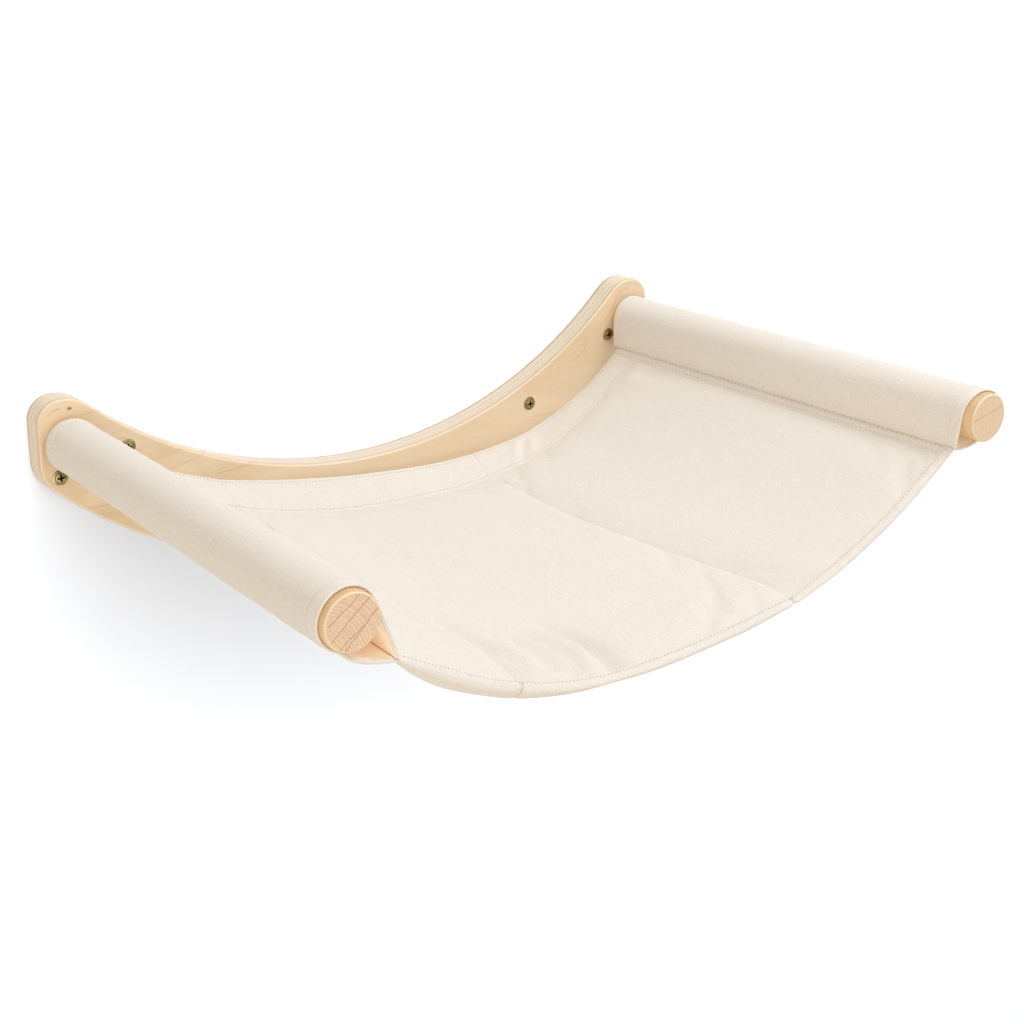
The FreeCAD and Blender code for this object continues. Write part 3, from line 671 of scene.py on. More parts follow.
def dowel_material(word, side, grain_angle, end_light, end_deep, ray_strength, check_strength):
    """Honey-coloured long grain on the bar, and rings, rays and checks on its free end, with a painted
    highlight on the end's chamfer.
    """
    material, net, shader, place = new_material(word + "_dowel_wood")
    centred = net.vector("SUBTRACT", place, (side * DOWEL_X * MM, 0.0, DOWEL_Z * MM))
    turned = net.add("Mapping", {"Vector": centred, "Rotation": (0.0, 0.0, math.radians(90.0))}).outputs[0]
    wood = net.group(WOOD_FIGURE, {"Vector": turned})
    bar = net.mix(net.ramp(wood["Figure"], 0.3, 0.7), (0.66, 0.43, 0.22, 1), (0.80, 0.58, 0.35, 1))
    bar = net.tint(bar, net.ramp(wood["Pores"], 0.5, 0.75), 0.3, (0.48, 0.28, 0.12, 1))

    flat = net.vector("MULTIPLY", centred, (1.0, 0.0, 1.0))
    spun = net.add("Mapping", {"Vector": flat, "Rotation": (0.0, math.radians(grain_angle), 0.0)}).outputs[0]
    ring_radius = net.apart(spun, (0.016, 0.0, -0.05))
    checks = marks(net, net.waver(flat, flat, 170.0, 0.0016), END_CHECKS[word], 0.00034)
    parts = net.add("SeparateXYZ", {0: spun}).outputs
    bowed = net.math("MULTIPLY_ADD", net.math("MULTIPLY", parts["Z"], parts["Z"]), 18.0, parts["X"])
    rays = net.group(RAY_LINES, {"Across": bowed, "Spacing": 640.0, "Width": 0.17, "Vector": spun,
                                 "Breaks": 0.4})["Line"]
    fine = net.group(RAY_LINES, {"Across": ring_radius, "Spacing": 700.0, "Width": 0.26, "Vector": flat,
                                 "Breaks": 0.5})["Line"]
    speckle = net.drawn_noise(spun, (800.0, 0.0, 1400.0), 2.0, 0.7)
    end = net.mix(net.ramp(speckle, 0.3, 0.7), end_deep, end_light)
    shade = (end_deep[0] * 0.82, end_deep[1] * 0.73, end_deep[2] * 0.65, 1)
    end = net.tint(end, fine, 0.35 * ray_strength, shade)
    end = net.tint(end, rays, ray_strength, shade)
    end = net.tint(end, checks, check_strength, (0.40, 0.20, 0.09, 1))

    depth = net.axis(place, "Y")
    flat_y = DOWEL_FREE_Y * MM
    rim_y = (DOWEL_FREE_Y + DOWEL_END_CHAMFER / 2) * MM
    on_end = net.ramp(depth, flat_y, flat_y + 0.0002, 1.0, 0.0)
    # Painted highlight: a pale ring on the end's chamfer
    chamfer_highlight = net.ramp(depth, rim_y, rim_y + 0.0003, 0.85, 0.0)
    colour = net.mix(chamfer_highlight, bar, (0.95, 0.82, 0.65, 1))
    colour = net.mix(on_end, colour, end)
    set_shader(net, shader, Base_Color=colour, Roughness=net.ramp(wood["Pores"], 0.3, 0.7, 0.45, 0.65))
    dips = net.math("MULTIPLY", net.math("MULTIPLY", checks, on_end), -0.5)
    set_bump(net, shader, net.math("ADD", wood["Pores"], dips), 0.0001)
    return material


def metal_material(name, dark, light, roughness, head=None):
    """Plated metal with a softly mottled skin, and on a screw's head a turned ring whose groove is darkened
    as painted shade, and a recess painted nearly black as painted shade.
    """
    material, net, shader, place = new_material(name)
    mottle = net.noise(place, 420.0)
    colour = net.mix(net.ramp(mottle, 0.35, 0.65), dark, light)
    height = mottle
    if head:
        apart = net.apart(net.vector("MULTIPLY", place, (1.0, 0.0, 1.0)), screw_middle(head))
        from_ring = net.math("ABSOLUTE", net.math("SUBTRACT", apart, SCREW_RING_RADIUS * MM))
        # Painted shade in the turned ring's groove
        groove = net.ramp(from_ring, 0.0001, 0.0005, 1.0, 0.0)
        colour = net.tint(colour, groove, 0.75, (0.06, 0.045, 0.02, 1))
        # Painted shade: the recess is painted nearly black
        face_y = -PLATE_THICKNESS * MM
        recess_shade = net.ramp(net.axis(place, "Y"), face_y - 0.0006, face_y + 0.0004)
        recess_shade = net.math("MULTIPLY", recess_shade, net.ramp(apart, 0.0026, 0.003, 1.0, 0.0))
        colour = net.mix(recess_shade, colour, (0.012, 0.009, 0.004, 1))
        height = net.math("MULTIPLY_ADD", groove, -6.0, mottle)
    worn = net.ramp(mottle, 0.3, 0.7, roughness, roughness + 0.1)
    set_shader(net, shader, Base_Color=colour, Roughness=worn, Metallic=1.0)
    set_bump(net, shader, height, 0.00004)
    return material


CREAM_CLOTH = cloth_material("cream_cloth", (0.88, 0.835, 0.79, 1), (0.81, 0.755, 0.70, 1))
# Painted highlight: the rolled lip round the sleeve mouths is a paler cream than the cloth, standing in for
# its lit edge
SLEEVE_LIP_HIGHLIGHT = cloth_material("sleeve_lip_painted_highlight", (0.94, 0.90, 0.84, 1), (0.86, 0.80, 0.72, 1))
SLEEVE_LINING_GLOW = glowing_lining_material()
TAN_THREAD = thread_material("tan_thread", (0.59, 0.46, 0.31, 1), (0.73, 0.61, 0.45, 1))
CREAM_THREAD = thread_material("cream_thread", (0.66, 0.55, 0.41, 1), (0.78, 0.68, 0.55, 1))
BIRCH_PLYWOOD = plywood_material()
DOWEL_WOOD = {
    "left": dowel_material("left", -1, 37.0, (0.91, 0.71, 0.54, 1), (0.79, 0.57, 0.40, 1), 0.9, 0.75),
    "right": dowel_material("right", 1, 11.0, (0.90, 0.72, 0.54, 1), (0.80, 0.59, 0.41, 1), 0.45, 0.6),
}
BRASS_TONES = ((0.34, 0.26, 0.12, 1), (0.52, 0.42, 0.22, 1), 0.3)
SCREW_BRASS = {name: metal_material("antique_brass_" + name, *BRASS_TONES, head=name) for name in SCREWS}
BOLT_STEEL = metal_material("zinc_steel", (0.46, 0.47, 0.48, 1), (0.64, 0.65, 0.66, 1), 0.3)
INSERT_BRASS = metal_material("turned_brass", (0.52, 0.38, 0.15, 1), (0.73, 0.57, 0.27, 1), 0.28)


def dress_frame():
    """Gives every rigid CAD node its finish."""
    finishes = {"plate": BIRCH_PLYWOOD, "bolt": BOLT_STEEL, "insert": INSERT_BRASS}
    for name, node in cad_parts.items():
        first, last = name.split("_")[0], name.split("_")[-1]
        finish = DOWEL_WOOD[first] if last == "dowel" else SCREW_BRASS.get(name, finishes.get(last))
        if finish:
            node.data.materials.clear()
            node.data.materials.append(finish)


# Stitching

def stitch_row(points, normals, pitch):
    """Points and faces of a row of short, half-sunk stitches along a path in mm."""
    points, normals = np.asarray(points, float), np.asarray(normals, float)
    run = path_run(points)
    verts, faces = [], []
    for start in np.arange(pitch / 2, run[-1] - pitch / 2, pitch):
        base = len(verts)
        for along, width, rise in STITCH_ARCH:
            at = start + along * pitch * STITCH_SHARE
            spot, up = at_run(at, run, points), at_run(at, run, normals)
            forward = at_run(at + 0.2, run, points) - at_run(at - 0.2, run, points)
            forward /= max(np.linalg.norm(forward), 1e-9)
            up = up - forward * (up @ forward)
            up /= np.linalg.norm(up)
            beside = np.cross(forward, up)
            for turn in range(STITCH_SIDES):
                angle = 2 * math.pi * turn / STITCH_SIDES
                out = beside * math.cos(angle) + up * math.sin(angle)
                verts.append(spot + up * rise * STITCH_WIDTH + out * width * STITCH_WIDTH / 2)
        faces += grid_faces(len(STITCH_ARCH), STITCH_SIDES, base, wrap=True)
        last = base + (len(STITCH_ARCH) - 1) * STITCH_SIDES
        faces += [tuple(range(start_point, start_point + STITCH_SIDES)) for start_point in (base, last)]
    return verts, faces


def stitching(name, rows, thread, pitch=STITCH_PITCH):
    """One piece from several stitch rows, each a pair of points and normals."""
    verts, faces = [], []
    for points, normals in rows:
        more_verts, more_faces = stitch_row(points, normals, pitch)
        faces += [tuple(index + len(verts) for index in face) for face in more_faces]
        verts += more_verts
    return new_piece(name, verts, faces, thread)


# Padded panels

# Soft folds pressed into the sling: points of each in x and y, width and depth
FOLDS = (
    (((-63.9, -267.0), (-54.7, -298.0), (-53.5, -318.0), (-60.4, -343.0)), 9.0, 6.5),
    (((-104.8, -269.8), (-89.0, -287.0), (-86.2, -309.0), (-90.0, -324.0)), 8.0, 2.2),
    (((-126.0, -220.0), (-113.5, -262.0), (-110.5, -284.5), (-114.3, -309.0), (-122.0, -336.0)), 9.0, 2.6),
    (((92.0, -51.0), (111.0, -30.0)), 4.0, 2.0),
    (((112.0, -50.0), (120.0, -34.0)), 4.0, 1.4),
    (((60.0, -50.0), (54.0, -32.0)), 4.5, 0.7),
    (((-116.0, -49.0), (-121.0, -30.0)), 5.0, 0.6),
    (((112.0, -84.0), (96.0, -51.0)), 7.0, 1.2),
    (((-12.0, -96.0), (-30.0, -52.0)), 11.0, 0.7),
    (((40.0, -92.0), (26.0, -52.0)), 10.0, 0.7),
)


def fold_depth(x, y):
    """How far the soft folds press the cloth in: steep on the left with a ridge beside, soft on the right."""
    depth = np.zeros_like(x)
    for points, width, deep in FOLDS:
        points = np.array(points)
        whole = run_length(points)
        nearest, beside, place, passed = np.full_like(x, np.inf), np.zeros_like(x), np.zeros_like(x), 0.0
        for first, last in zip(points, points[1:]):
            run = last - first
            length = np.hypot(*run)
            along = ((x - first[0]) * run[0] + (y - first[1]) * run[1]) / length
            square = ((x - first[0]) * run[1] - (y - first[1]) * run[0]) / length * np.sign(run[1])
            apart = np.hypot(square, along - np.clip(along, 0, length))
            better = apart < nearest
            nearest = np.where(better, apart, nearest)
            beside = np.where(better, np.copysign(apart, square), beside)
            place = np.where(better, (passed + along) / whole, place)
            passed += length
        taper = smooth_step((place + 0.1) / 0.6) * smooth_step((1.15 - place) / 0.2)
        beside /= width
        valley = np.exp(-(beside / np.where(beside < 0, 0.4, 0.9)) ** 2)
        depth += deep * taper * (valley - 0.55 * np.exp(-((beside + 1.1) / 0.7) ** 2))
    return depth


def crowded(count, share):
    """Steps from 0 to 1 that lie closer together towards both ends."""
    even = np.linspace(0, 1, count)
    return even - share * np.sin(2 * math.pi * even)


def panel_half(word, x, y, fill):
    """Half thickness of a panel, drawn in along its sewn edges, and the shift of its middle."""
    low, high = panel_bounds(word, y)
    uneven = ripple(np.stack([x, y], -1), seed=len(word), count=4, longest=150.0, shortest=60.0)
    full = PANEL_THICKNESS / 2 * fill * (1 + 0.1 * uneven)
    edges = [(PANEL_BACK_Y - y, HEM_RIM, HEM_SHOULDER)]
    for distance, (rim, shoulder) in zip((x - low, high - x), PANEL_RIMS[word]):
        edges.append((distance, np.interp(y, RIM_Y, rim), shoulder))
    drawn = np.zeros_like(x)
    for distance, rim, shoulder in edges:
        drawn += ((full - rim) * (1 - np.clip(distance / shoulder, 0, 1)) ** 2.2) ** 2
    half = np.maximum(full - np.sqrt(drawn), 0.8)
    edge_half, shift = binding_shape(x)
    near_front = (1 - np.clip((y - PANEL_FRONT_Y) / FRONT_SHOULDER, 0, 1)) ** 2
    return half + (edge_half - BINDING_CLOTH - half) * near_front, shift * near_front


def panel_piece(word):
    """A padded panel: two cloths sewn together round their edges, blown up by cloth simulation."""
    widest = np.ptp(panel_bounds(word, SLING_FRONT_Y))
    columns, rows = int(widest / PANEL_STEP) + 2, PANEL_ROWS
    y = PANEL_BACK_Y + (PANEL_FRONT_Y - PANEL_BACK_Y) * crowded(rows, 0.07)[:, None]
    low, high = panel_bounds(word, y)
    place = PANELS.index(word)
    low, high = low - SEAM_LAPS[place], high + SEAM_LAPS[place + 1]
    x = low + (high - low) * crowded(columns, 0.09)
    y = np.broadcast_to(y, x.shape)
    half, shift = panel_half(word, x, y, PANEL_SLACK_FILL)
    upper, lower = lifted(x, y, shift + half), lifted(x, y, shift - half)
    points = np.concatenate([upper.reshape(-1, 3), lower.reshape(-1, 3)])
    count = rows * columns
    faces = grid_faces(rows, columns) + grid_faces(rows, columns, count)
    index = np.arange(count).reshape(rows, columns)
    rim = np.concatenate([index[0, :-1], index[:-1, -1], index[-1, :0:-1], index[:0:-1, 0]]).tolist()
    for here, after in zip(rim, rim[1:] + rim[:1]):
        faces.append((here, after, after + count, here + count))
    piece = new_piece(word + "_panel", points, faces, CREAM_CLOTH)
    blow_up(piece, rim + [here + count for here in rim])
    press_folds(piece, word)
    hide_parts(word + "_top_cloth", word + "_wadding", word + "_under_cloth")
    return piece


def blow_up(piece, sewn):
    """Runs a cloth simulation under pressure with the sewn rim held, and keeps its capped result."""
    rest = mesh_points(piece.data)
    group = piece.vertex_groups.new(name="sewn")
    group.add(sewn, 1.0, "REPLACE")
    cloth = add_modifier(piece, "CLOTH")
    for name, value in CLOTH_SETTINGS.items():
        setattr(cloth.settings, name, value)
    cloth.settings.effector_weights.gravity = 0.0
    cloth.collision_settings.use_collision = False
    cloth.point_cache.frame_start = 1
    cloth.point_cache.frame_end = CLOTH_FRAMES
    scene = bpy.context.scene
    for number in range(1, CLOTH_FRAMES + 1):
        scene.frame_set(number)
    blown = piece.evaluated_get(bpy.context.evaluated_depsgraph_get()).to_mesh()
    moved = mesh_points(blown) - rest
    piece.modifiers.remove(cloth)
    piece.vertex_groups.remove(group)
    scene.frame_set(1)
    length = np.linalg.norm(moved, axis=1, keepdims=True)
    most = CLOTH_CAP * MM
    move_points(piece, rest + moved * most / (most + np.maximum(length, 1e-9)))


def press_folds(piece, word):
    """Divides a panel's mesh once and presses the soft folds into its upper cloth."""
    finer = subdivide(piece)
    drawn = piece.evaluated_get(bpy.context.evaluated_depsgraph_get())
    rough, piece.data = piece.data, bpy.data.meshes.new_from_object(drawn)
    piece.modifiers.remove(finer)
    bpy.data.meshes.remove(rough)
    places = mesh_points(piece.data)
    x, y, z = places.T / MM
    half, shift = panel_half(word, x, y, 1.0)
    above = smooth_step(0.5 + (z - hang_height(x, y) - shift) / half / 1.6)
    above *= smooth_step((y - PANEL_FRONT_Y) / FOLD_FADE)
    places[:, 2] -= np.minimum(fold_depth(x, y), 1.1 * half) * above * MM
    move_points(piece, places)


# Hems, bindings and tapes

def round_bar(low, high, half, edge, groove_places=(), groove=0.3, crown=0.0, steps=18):
    """Closed outline of a flat strip: (along, rise) pairs with rounded sides and stitch grooves on top."""
    along = np.linspace(low + edge, high - edge, steps)
    middle = (along - (low + high) / 2) / ((high - low) / 2)
    top = half + crown * (1 - middle ** 2)
    for place in groove_places:
        top = top - groove * np.exp(-((along - place) / 0.8) ** 2)
    outline = list(zip(along, top))
    for angle in np.linspace(math.pi / 2, -math.pi / 2, 5)[1:-1]:
        outline.append((high - edge + edge * math.cos(angle), half * math.sin(angle)))
    outline += [(place, -half) for place in along[::-1]]
    for angle in np.linspace(-math.pi / 2, -3 * math.pi / 2, 5)[1:-1]:
        outline.append((low + edge + edge * math.cos(angle), half * math.sin(angle)))
    return np.array(outline)


def hem_back(x):
    """Y of the hem's back edge, cut away towards the sleeves."""
    left, right = sling_end(-1, SLING_BACK_Y)[0], sling_end(1, SLING_BACK_Y)[0]
    cut = HEM_CORNER_SLANT[-1] * np.clip(1 - (x - left) / HEM_CORNER_RUN, 0, 1)
    return SLING_BACK_Y - cut - HEM_CORNER_SLANT[1] * np.clip(1 - (right - x) / HEM_CORNER_RUN, 0, 1)


def hem_piece(word):
    """Unpadded band of doubled cloth along the plate, stitched at both edges."""
    outline = round_bar(PANEL_BACK_Y - 0.6, SLING_BACK_Y, CLOTH, 1.2, HEM_STITCHES, 0.4, 0.7, 26)
    middle_low, middle_high = panel_bounds(word, (PANEL_BACK_Y + SLING_BACK_Y) / 2)
    deep = SLING_BACK_Y - PANEL_BACK_Y
    across = crowded(int((middle_high - middle_low) / HEM_STEP) + 2, 0.08)

    def band_shape(place, y, rise):
        low, high = panel_bounds(word, y)
        x = low - HEM_TUCK + (high - low + 2 * HEM_TUCK) * place
        y = PANEL_BACK_Y + (y - PANEL_BACK_Y) * (hem_back(x) - PANEL_BACK_Y) / deep
        loose = np.clip(np.sin(math.pi * (y - PANEL_BACK_Y) / deep), 0, 1)
        wave = 0.45 * ripple(np.stack([x, y], -1), seed=11, count=5, longest=90.0, shortest=22.0) * loose
        dip = 0.3 * np.exp(-(from_joint(x, y) / 0.9) ** 2)
        return lifted(x, y, rise + wave - dip - 0.8 * fold_depth(x, y))

    points, faces = loft([band_shape(place, outline[:, 0], outline[:, 1]) for place in across])
    piece = new_piece(word + "_hem_band", points, faces, CREAM_CLOTH)
    rows = []
    for y, rise in zip(HEM_STITCHES, (CLOTH + 0.1, CLOTH + 0.15)):
        path = np.concatenate([band_shape(place, np.array([y]), np.array([rise])) for place in across])
        above = np.concatenate([band_shape(place, np.array([y]), np.array([rise + 1])) for place in across])
        rows.append((path, above - path))
    threads = stitching(word + "_hem_stitching", rows, CREAM_THREAD)
    subdivide(piece)
    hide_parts(word + "_back_hem")
    return piece


def front_path(word):
    """Middle line of the bound front edge in X and Z: over the tape's end, then along the panel."""
    low, high = panel_bounds(word, SLING_FRONT_Y)
    x = np.linspace(low, high, int((high - low) / BINDING_STEP) + 2)
    line = lifted(x, SLING_FRONT_Y, 0)[:, [0, 2]]
    steps = np.linspace(0, 1, 5)[:-1, None]
    for name, side in SIDES:
        if word == name:
            tail = np.array(tail_end(side, SLING_FRONT_Y))
            end = line[0] if side < 0 else line[-1]
            tape = tail + (end - tail) * steps
            line = np.concatenate([tape, line]) if side < 0 else np.concatenate([line, tape[::-1]])
    return line


def binding_piece(word):
    """Strip folded round the panel's front edge, drawn in where it is pleated and at the seams."""
    line = front_path(word)
    normal = beside_path(line)
    half, shift = binding_shape(line[:, 0])
    drawn = np.exp(-(from_joint(line[:, 0], SLING_FRONT_Y) / 1.6) ** 2)
    half = half * (1 - 0.12 * drawn)
    belly = 0.22 * ripple(line[:, :1], seed=23, count=5, longest=60.0, shortest=9.0) - 0.9 * drawn
    turns = np.linspace(math.pi / 2, -math.pi / 2, 11)
    skew = BINDING_SKEW * np.exp(-(from_joint(line[:, 0], SLING_FRONT_Y) / 9) ** 2)
    start = SLING_FRONT_Y + BINDING_NOSE
    below = start + BINDING_UNDERCUT
    back = BINDING_FLAT - BINDING_UNDERCUT
    rings = []
    for spot, out, tall, lift, bulge, tilt in zip(line, normal, half, shift, belly, skew):
        section = []
        for shrink in (0.0, BINDING_CLOTH):
            rise = max(tall - shrink, 0.1)
            nose = BINDING_NOSE + bulge - shrink
            side = [(start + BINDING_FLAT * step, rise) for step in (1.0, 0.5)]
            for turn in turns:
                under = BINDING_UNDERCUT * min(math.sin(turn), 0) ** 2
                side.append((start + under - nose * math.cos(turn), rise * math.sin(turn)))
            side += [(below + back * step, -rise) for step in (0.5, 1.0)]
            section += side if not shrink else side[::-1]
        section = np.array(section)
        flat = spot + np.outer(section[:, 1] + lift, out)
        rings.append(np.stack([flat[:, 0] + tilt * section[:, 1], section[:, 0], flat[:, 1]], -1))
    points, faces = loft(rings)
    piece = new_piece(word + "_binding", points, faces, CREAM_CLOTH)
    top = line + normal * (half + shift + 0.05)[:, None]
    path = np.stack([top[:, 0] + skew * half, np.full(len(top), PANEL_FRONT_Y - 0.4), top[:, 1]], -1)
    upright = np.stack([normal[:, 0], 0 * half, normal[:, 1]], -1)
    threads = stitching(word + "_binding_stitching", [(path, upright)], TAN_THREAD)
    subdivide(piece)
    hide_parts(word + "_front_binding")
    return piece


def tape_piece(word, side):
    """Flat strip over the seam between a sleeve and its panel, with a row of stitches at each edge."""
    along = np.array([-side * math.cos(TAPE_SLOPE), -math.sin(TAPE_SLOPE)])
    across = np.array([-side * math.sin(TAPE_SLOPE), math.cos(TAPE_SLOPE)])
    low, high = -TAPE_SLEEVE_TUCK, TAPE_WIDTH + TAPE_PANEL_TUCK
    outline = round_bar(low, high, TAPE_HALF, 1.2, TAPE_STITCHES, 0.35, 0.35, 19)
    y = np.linspace(TAPE_BACK_Y, TAPE_FRONT_Y, TAPE_ROWS)

    def strip(run, rise, depth):
        flat = np.array(tail_end(side, depth)) + np.outer(run, along) + np.outer(rise, across)
        return np.stack([flat[:, 0], np.full(len(flat), depth), flat[:, 1]], -1)

    rings = []
    for depth in y:
        places = np.stack([outline[:, 0], np.full(len(outline), depth)], -1)
        wave = 0.12 * ripple(places, seed=31 + side, count=4, longest=50.0, shortest=12.0)
        rings.append(strip(outline[:, 0], outline[:, 1] + wave, depth))
    points, faces = loft(rings)
    piece = new_piece(word + "_tape", points, faces, CREAM_CLOTH)
    rows = []
    for place in TAPE_STITCHES:
        path = np.concatenate([strip(np.array([place]), np.array([TAPE_HALF]), depth) for depth in y])
        rows.append((path, np.tile([across[0], 0, across[1]], (len(path), 1))))
    threads = stitching(word + "_tape_stitching", rows, TAN_THREAD, TAPE_STITCH_PITCH)
    subdivide(piece)
    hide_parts(word + "_seam_tape")
    return piece


# Sleeves

def sleeve_outline(side, reach):
    """Middle line of a sleeve in (towards the tail, across), from the tail's upper side round to its lower
    side, and the outward normals of that line."""
    sewn = CLOTH / 2 - 0.3
    turn = math.atan2(sewn, reach) + math.acos(SLEEVE_RADIUS / math.hypot(reach, sewn))
    touch = np.array([math.cos(turn), math.sin(turn)]) * SLEEVE_RADIUS
    tail = np.array([reach, sewn])
    steps = np.linspace(0, 1, SLEEVE_FLAT_POINTS)[:-1, None]
    upper = tail + (touch - tail) * steps + 0.5 * np.sin(math.pi * steps) * np.array([0.3, 0.95])
    around = np.linspace(turn, 2 * math.pi - turn, SLEEVE_ROUND_POINTS)
    circle = np.stack([np.cos(around), np.sin(around)], -1) * SLEEVE_RADIUS
    back = np.linspace(0, 1, SLEEVE_FLAT_POINTS)[1:, None]
    low_touch, low_tail = touch * (1, -1), tail * (1, -1)
    bow = SLEEVE_SLACK[side] * np.sin(math.pi * back) ** 1.3 * np.array([-0.35, -0.94])
    line = np.concatenate([upper, circle, low_touch + (low_tail - low_touch) * back + bow])
    normal = beside_path(line)
    middle = len(line) // 2
    return line, normal * np.sign((normal[middle] * line[middle]).sum())


def sleeve_rings(side, steps, rise):
    """Points and normals of a sleeve at each step from its back end to its mouth, both cut on the slant."""
    rings, outs = [], []
    for step in steps:
        depth = SLING_BACK_Y + (SLING_FRONT_Y - SLING_BACK_Y) * step
        reach, slope = tail_hang(side, depth)
        basis = np.array([[-side * math.cos(slope), -math.sin(slope)],
                          [-side * math.sin(slope), math.cos(slope)]])
        line, normal = sleeve_outline(side, reach)
        tailward = (line[:, 0] + SLEEVE_RADIUS) / (reach + SLEEVE_RADIUS)
        back = SLING_BACK_Y - SLEEVE_BACK_SLANT * tailward
        mouth = SLEEVE_MOUTH_Y + SLEEVE_MOUTH_SLANT * tailward
        y = back + (mouth - back) * step
        flat = (line + normal * rise(side, line, y - mouth, back - y)[:, None]) @ basis
        out = normal @ basis
        rings.append(np.stack([side * DOWEL_X + flat[:, 0], y, DOWEL_Z + flat[:, 1]], -1))
        outs.append(np.stack([out[:, 0], 0 * y, out[:, 1]], -1))
    return np.array(rings), np.array(outs)


def sleeve_rise(side, line, from_mouth, from_back):
    """Hems, stitch grooves and soft waves of a sleeve's surface, as a rise from its middle line."""
    run = np.linspace(0, 1, len(line))
    free = np.clip(np.minimum(run, 1 - run) / 0.12, 0, 1)
    from_end = np.minimum(from_mouth, from_back)
    from_stitch = from_end - SLEEVE_HEM[side]
    hem = 0.3 * (1 - smooth_step((from_stitch + 0.6) / 1.2))
    groove = -0.3 * np.exp(-(from_stitch / 0.8) ** 2)
    places = np.stack([run * 60, from_mouth], -1)
    wave = 0.2 * (1 + ripple(places, seed=5 + side, count=5, longest=110.0, shortest=24.0))
    snug = smooth_step(1 - from_mouth / 7)
    return ((hem + wave) * (1 - snug) + groove - 0.3 * snug) * free


def sleeve_piece(word, side):
    """Cloth tube round a dowel, hemmed at both ends and sewn together at its tail."""
    first, last = SLEEVE_END_SHARE, 1 - SLEEVE_END_SHARE
    steps = np.concatenate([np.linspace(0, first, 13)[:-1], np.linspace(first, last, 62)[:-1],
                            np.linspace(last, 1, 13)])
    rings, outs = sleeve_rings(side, steps, sleeve_rise)
    faces = grid_faces(*rings.shape[:2])
    piece = new_piece(word + "_sleeve_cloth", rings.reshape(-1, 3), faces, CREAM_CLOTH)
    face_outward(piece, side)
    piece.data.materials.append(SLEEVE_LINING_GLOW)
    add_modifier(piece, "SOLIDIFY", thickness=CLOTH * MM, offset=0.0, material_offset=1,
                 material_offset_rim=0)
    subdivide(piece)
    length = SLING_BACK_Y - SLEEVE_MOUTH_Y
    rows = []
    sewn = slice(SLEEVE_STITCH_MARGIN, -SLEEVE_STITCH_MARGIN)
    for step in (SLEEVE_HEM[side] / length, 1 - SLEEVE_HEM[side] / length):
        row, out = sleeve_rings(side, [step], sleeve_rise)
        rows.append(((row[0] + out[0] * (CLOTH / 2))[sewn], out[0][sewn]))
    threads = stitching(word + "_sleeve_stitching", rows, CREAM_THREAD)
    lip = sleeve_lip(word, rings[-1], outs[-1])
    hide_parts(word + "_sleeve")
    return piece


def sleeve_lip(word, mouth, outward):
    """Rolled edge round a sleeve's mouth, oversewn with a fine twist along the lower layer, in a paler cloth
    that is a painted highlight.
    """
    path = mouth + outward * SLEEVE_LIP_OFFSET
    run = path_run(path)
    places = np.linspace(0, run[-1], 420)
    line = at_run(places, run, path)
    ahead = np.gradient(line, axis=0)
    ahead /= np.linalg.norm(ahead, axis=1, keepdims=True)
    forward = np.array([0.0, -1.0, 0.0])
    touch = SLEEVE_FLAT_POINTS - 1
    upper, lower = run[touch], run[touch + SLEEVE_ROUND_POINTS]
    rings = []
    for spot, way, place in zip(line, ahead, places):
        up = np.cross(way, forward)
        up /= np.linalg.norm(up)
        front = np.cross(up, way)
        ends = 0.5 + 0.5 * smooth_step(min(place, run[-1] - place) / 5)
        ends *= 1 - 0.4 * smooth_step((place - upper + 8) / 16) * smooth_step((lower + 8 - place) / 16)
        twist = 0.16 * smooth_step((place - lower - 8) / 8)
        ring = []
        for turn in np.linspace(0, 2 * math.pi, 15)[:-1]:
            wound = math.sin(2 * math.pi * place / SLEEVE_LIP_TWIST + turn)
            radius = SLEEVE_LIP_RADIUS * ends * (1 + twist * wound)
            ring.append(spot + radius * (up * math.cos(turn) + front * math.sin(turn)))
        rings.append(ring)
    points, faces = loft(rings)
    return new_piece(word + "_sleeve_lip", points, faces, SLEEVE_LIP_HIGHLIGHT)


def face_outward(piece, side):
    """Turns an open sleeve's faces away from its dowel."""
    work = bmesh.new()
    work.from_mesh(piece.data)
    centre = np.array([side * DOWEL_X, 0, DOWEL_Z]) * MM
    total = 0.0
    for face in work.faces:
        arm = np.array(face.calc_center_median()) - centre
        total += arm[0] * face.normal.x + arm[2] * face.normal.z
    if total < 0:
        bmesh.ops.reverse_faces(work, faces=work.faces)
    work.to_mesh(piece.data)
    work.free()


# Panel seams

def seam_threads():
    """Stitches along the right seam, on the lower panel's side."""
    y = np.linspace(PANEL_BACK_Y, PANEL_FRONT_Y, 100)
    x = seam(RIGHT_SEAM_X, y) + 0.7
    half, shift = panel_half("right", x, y, 1.0)
    low, high = lifted(x, y, half + shift), lifted(x, y, half + shift + 1)
    return stitching("panel_seam_stitching", [(low, high - low)], CREAM_THREAD)


# Screw threads behind the wall plane

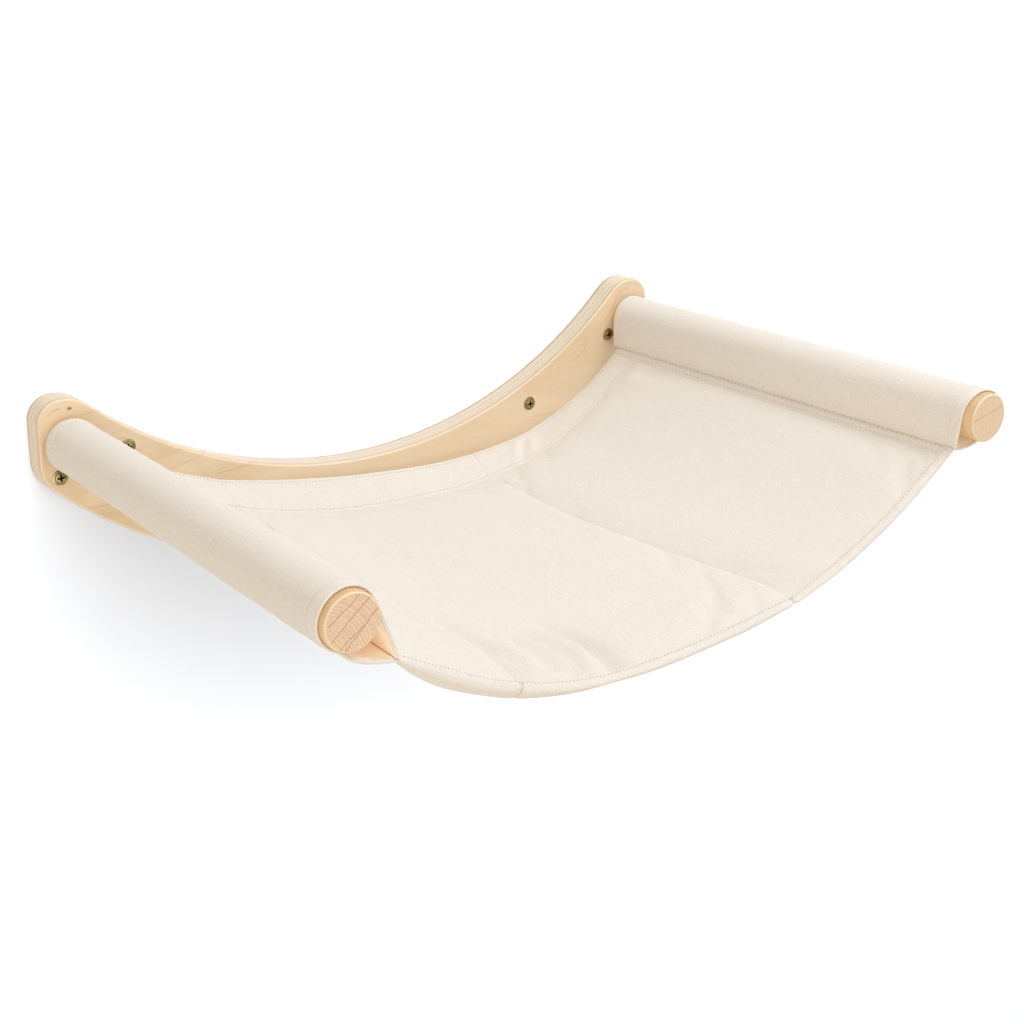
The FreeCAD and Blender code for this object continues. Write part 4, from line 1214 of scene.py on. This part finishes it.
def screw_thread(name):
    """A helical ridge round a wall screw's point."""
    x, _, z = np.array(screw_middle(name)) / MM
    end_y = SCREW_TIP_Y - 1
    turns = (end_y - SCREW_THREAD_START_Y) / SCREW_THREAD_PITCH
    count = int(turns * 20)
    rings = []
    for step in range(count + 1):
        y = SCREW_THREAD_START_Y + (end_y - SCREW_THREAD_START_Y) * step / count
        angle = 2 * math.pi * turns * step / count
        taper = min(1.0, max((SCREW_TIP_Y - y) / (SCREW_TIP_Y - SCREW_THREAD_END_Y), 0.12))
        root = SCREW_THREAD_RADIUS * taper
        rise = SCREW_THREAD_RISE * min(1.0, (y - SCREW_THREAD_START_Y) / 1.5 + 0.05) * max(taper, 0.3)
        ring = []
        for out, shift in ((-0.15, -0.4), (rise, 0.0), (-0.15, 0.4)):
            radius = root + out
            depth = y + shift * max(taper, 0.4)
            ring.append((x + radius * math.cos(angle), depth, z + radius * math.sin(angle)))
        rings.append(ring)
    points, faces = loft(rings)
    return new_piece(name + "_thread", points, faces, SCREW_BRASS[name], "wall_frame")


# Stage, lights and camera

def seen_by_eye(net):
    """1 for rays from the camera, a mirror or glass, and 0 for those that light the scene."""
    ray = net.add("LightPath").outputs
    return net.math("MAXIMUM", ray["Is Camera Ray"], net.math("MAXIMUM", ray["Is Glossy Ray"],
                                                              ray["Is Transmission Ray"]))


def stage_material(name, colour, added):
    """White for the eye except in shadow, and clear from behind."""
    material = bpy.data.materials.new(name)
    material.use_nodes = True
    net = Net(material.node_tree)
    net.tree.nodes.clear()
    matt = net.add("BsdfDiffuse", {"Color": colour}).outputs[0]
    strength = net.math("MULTIPLY", seen_by_eye(net), added)
    glow = net.add("Emission", {"Color": (1, 1, 1, 1), "Strength": strength}).outputs[0]
    lit = net.add("AddShader", {0: matt, 1: glow}).outputs[0]
    clear = net.add("BsdfTransparent").outputs[0]
    behind = net.add("NewGeometry").outputs["Backfacing"]
    final = net.add("MixShader", {0: behind, 1: lit, 2: clear}).outputs[0]
    net.add("OutputMaterial", {"Surface": final})
    return material


def build_stage():
    """White surroundings, a pale floor, and a pale wall that only takes the soft shadow."""
    world = bpy.data.worlds.new("white_studio")
    bpy.context.scene.world = world
    world.use_nodes = True
    net = Net(world.node_tree)
    back = world.node_tree.nodes["Background"]
    eye = seen_by_eye(net)
    net.wire(net.ramp(eye, 0.0, 1.0, WORLD_LIGHT, 1.0), back.inputs["Strength"])
    net.wire(net.mix(eye, WORLD_TINT, (1.0, 1.0, 1.0, 1)), back.inputs["Color"])
    corners = [(x * STAGE_REACH, y * STAGE_REACH) for x, y in ((-1, -1), (1, -1), (1, 1), (-1, 1))]
    sheets = {
        "floor": ([(x, y, FLOOR_Z) for x, y in corners], FLOOR_COLOUR, FLOOR_GLOW),
        "wall": ([(x, WALL_Y, z) for x, z in corners], WALL_COLOUR, WALL_GLOW),
    }
    for name, (points, colour, glow) in sheets.items():
        mesh = bpy.data.meshes.new(name)
        mesh.from_pydata(points, [], [(0, 1, 2, 3)])
        mesh.materials.append(stage_material("pale_" + name, colour, glow))
        piece = add_object(name, mesh)
        piece.visible_diffuse = piece.visible_shadow = name == "floor"
    return piece


def aim(thing, place, back, roll=0.0):
    """Puts a lamp or camera at a place, looking away from back and turned by roll."""
    level = np.cross((0, 0, 1), back)
    level /= np.linalg.norm(level)
    upright = np.cross(back, level)
    right = math.cos(roll) * level + math.sin(roll) * upright
    up = -math.sin(roll) * level + math.cos(roll) * upright
    thing.matrix_world = Matrix([[right[i], up[i], back[i], place[i]] for i in range(3)] + [[0, 0, 0, 1]])


def area_light(name, place, target, size, power, colour):
    data = bpy.data.lights.new(name, "AREA")
    data.shape = "DISK"
    data.size = size
    data.energy = power
    data.color = colour
    lamp = add_object(name, data)
    back = np.subtract(place, target)
    aim(lamp, place, back / np.linalg.norm(back))
    return lamp


def build_lights(wall):
    """The lamps, of which the wash reaches only the wall."""
    lamps = {name: area_light(name, *values) for name, values in LAMPS.items()}
    wash = lamps["wall_wash"].light_linking
    wash.receiver_collection = bpy.data.collections.new("washed_wall")
    wash.receiver_collection.objects.link(wall)


def build_camera():
    level = math.cos(CAMERA_ELEVATION)
    back = np.array([math.sin(CAMERA_AZIMUTH) * level, -math.cos(CAMERA_AZIMUTH) * level,
                     math.sin(CAMERA_ELEVATION)])
    data = bpy.data.cameras.new("camera")
    data.lens = CAMERA_LENS
    data.sensor_width = CAMERA_SENSOR
    camera = add_object("camera", data)
    aim(camera, CAMERA_PLACE, back, CAMERA_ROLL)
    bpy.context.scene.camera = camera


dress_frame()
for word in PANELS:
    panel_piece(word)
    hem_piece(word)
    binding_piece(word)
for word, side in SIDES:
    sleeve_piece(word, side)
    tape_piece(word, side)
seam_threads()
for name in SCREWS:
    screw_thread(name)
build_lights(build_stage())
build_camera()
bpy.context.scene.view_settings.view_transform = "Standard"
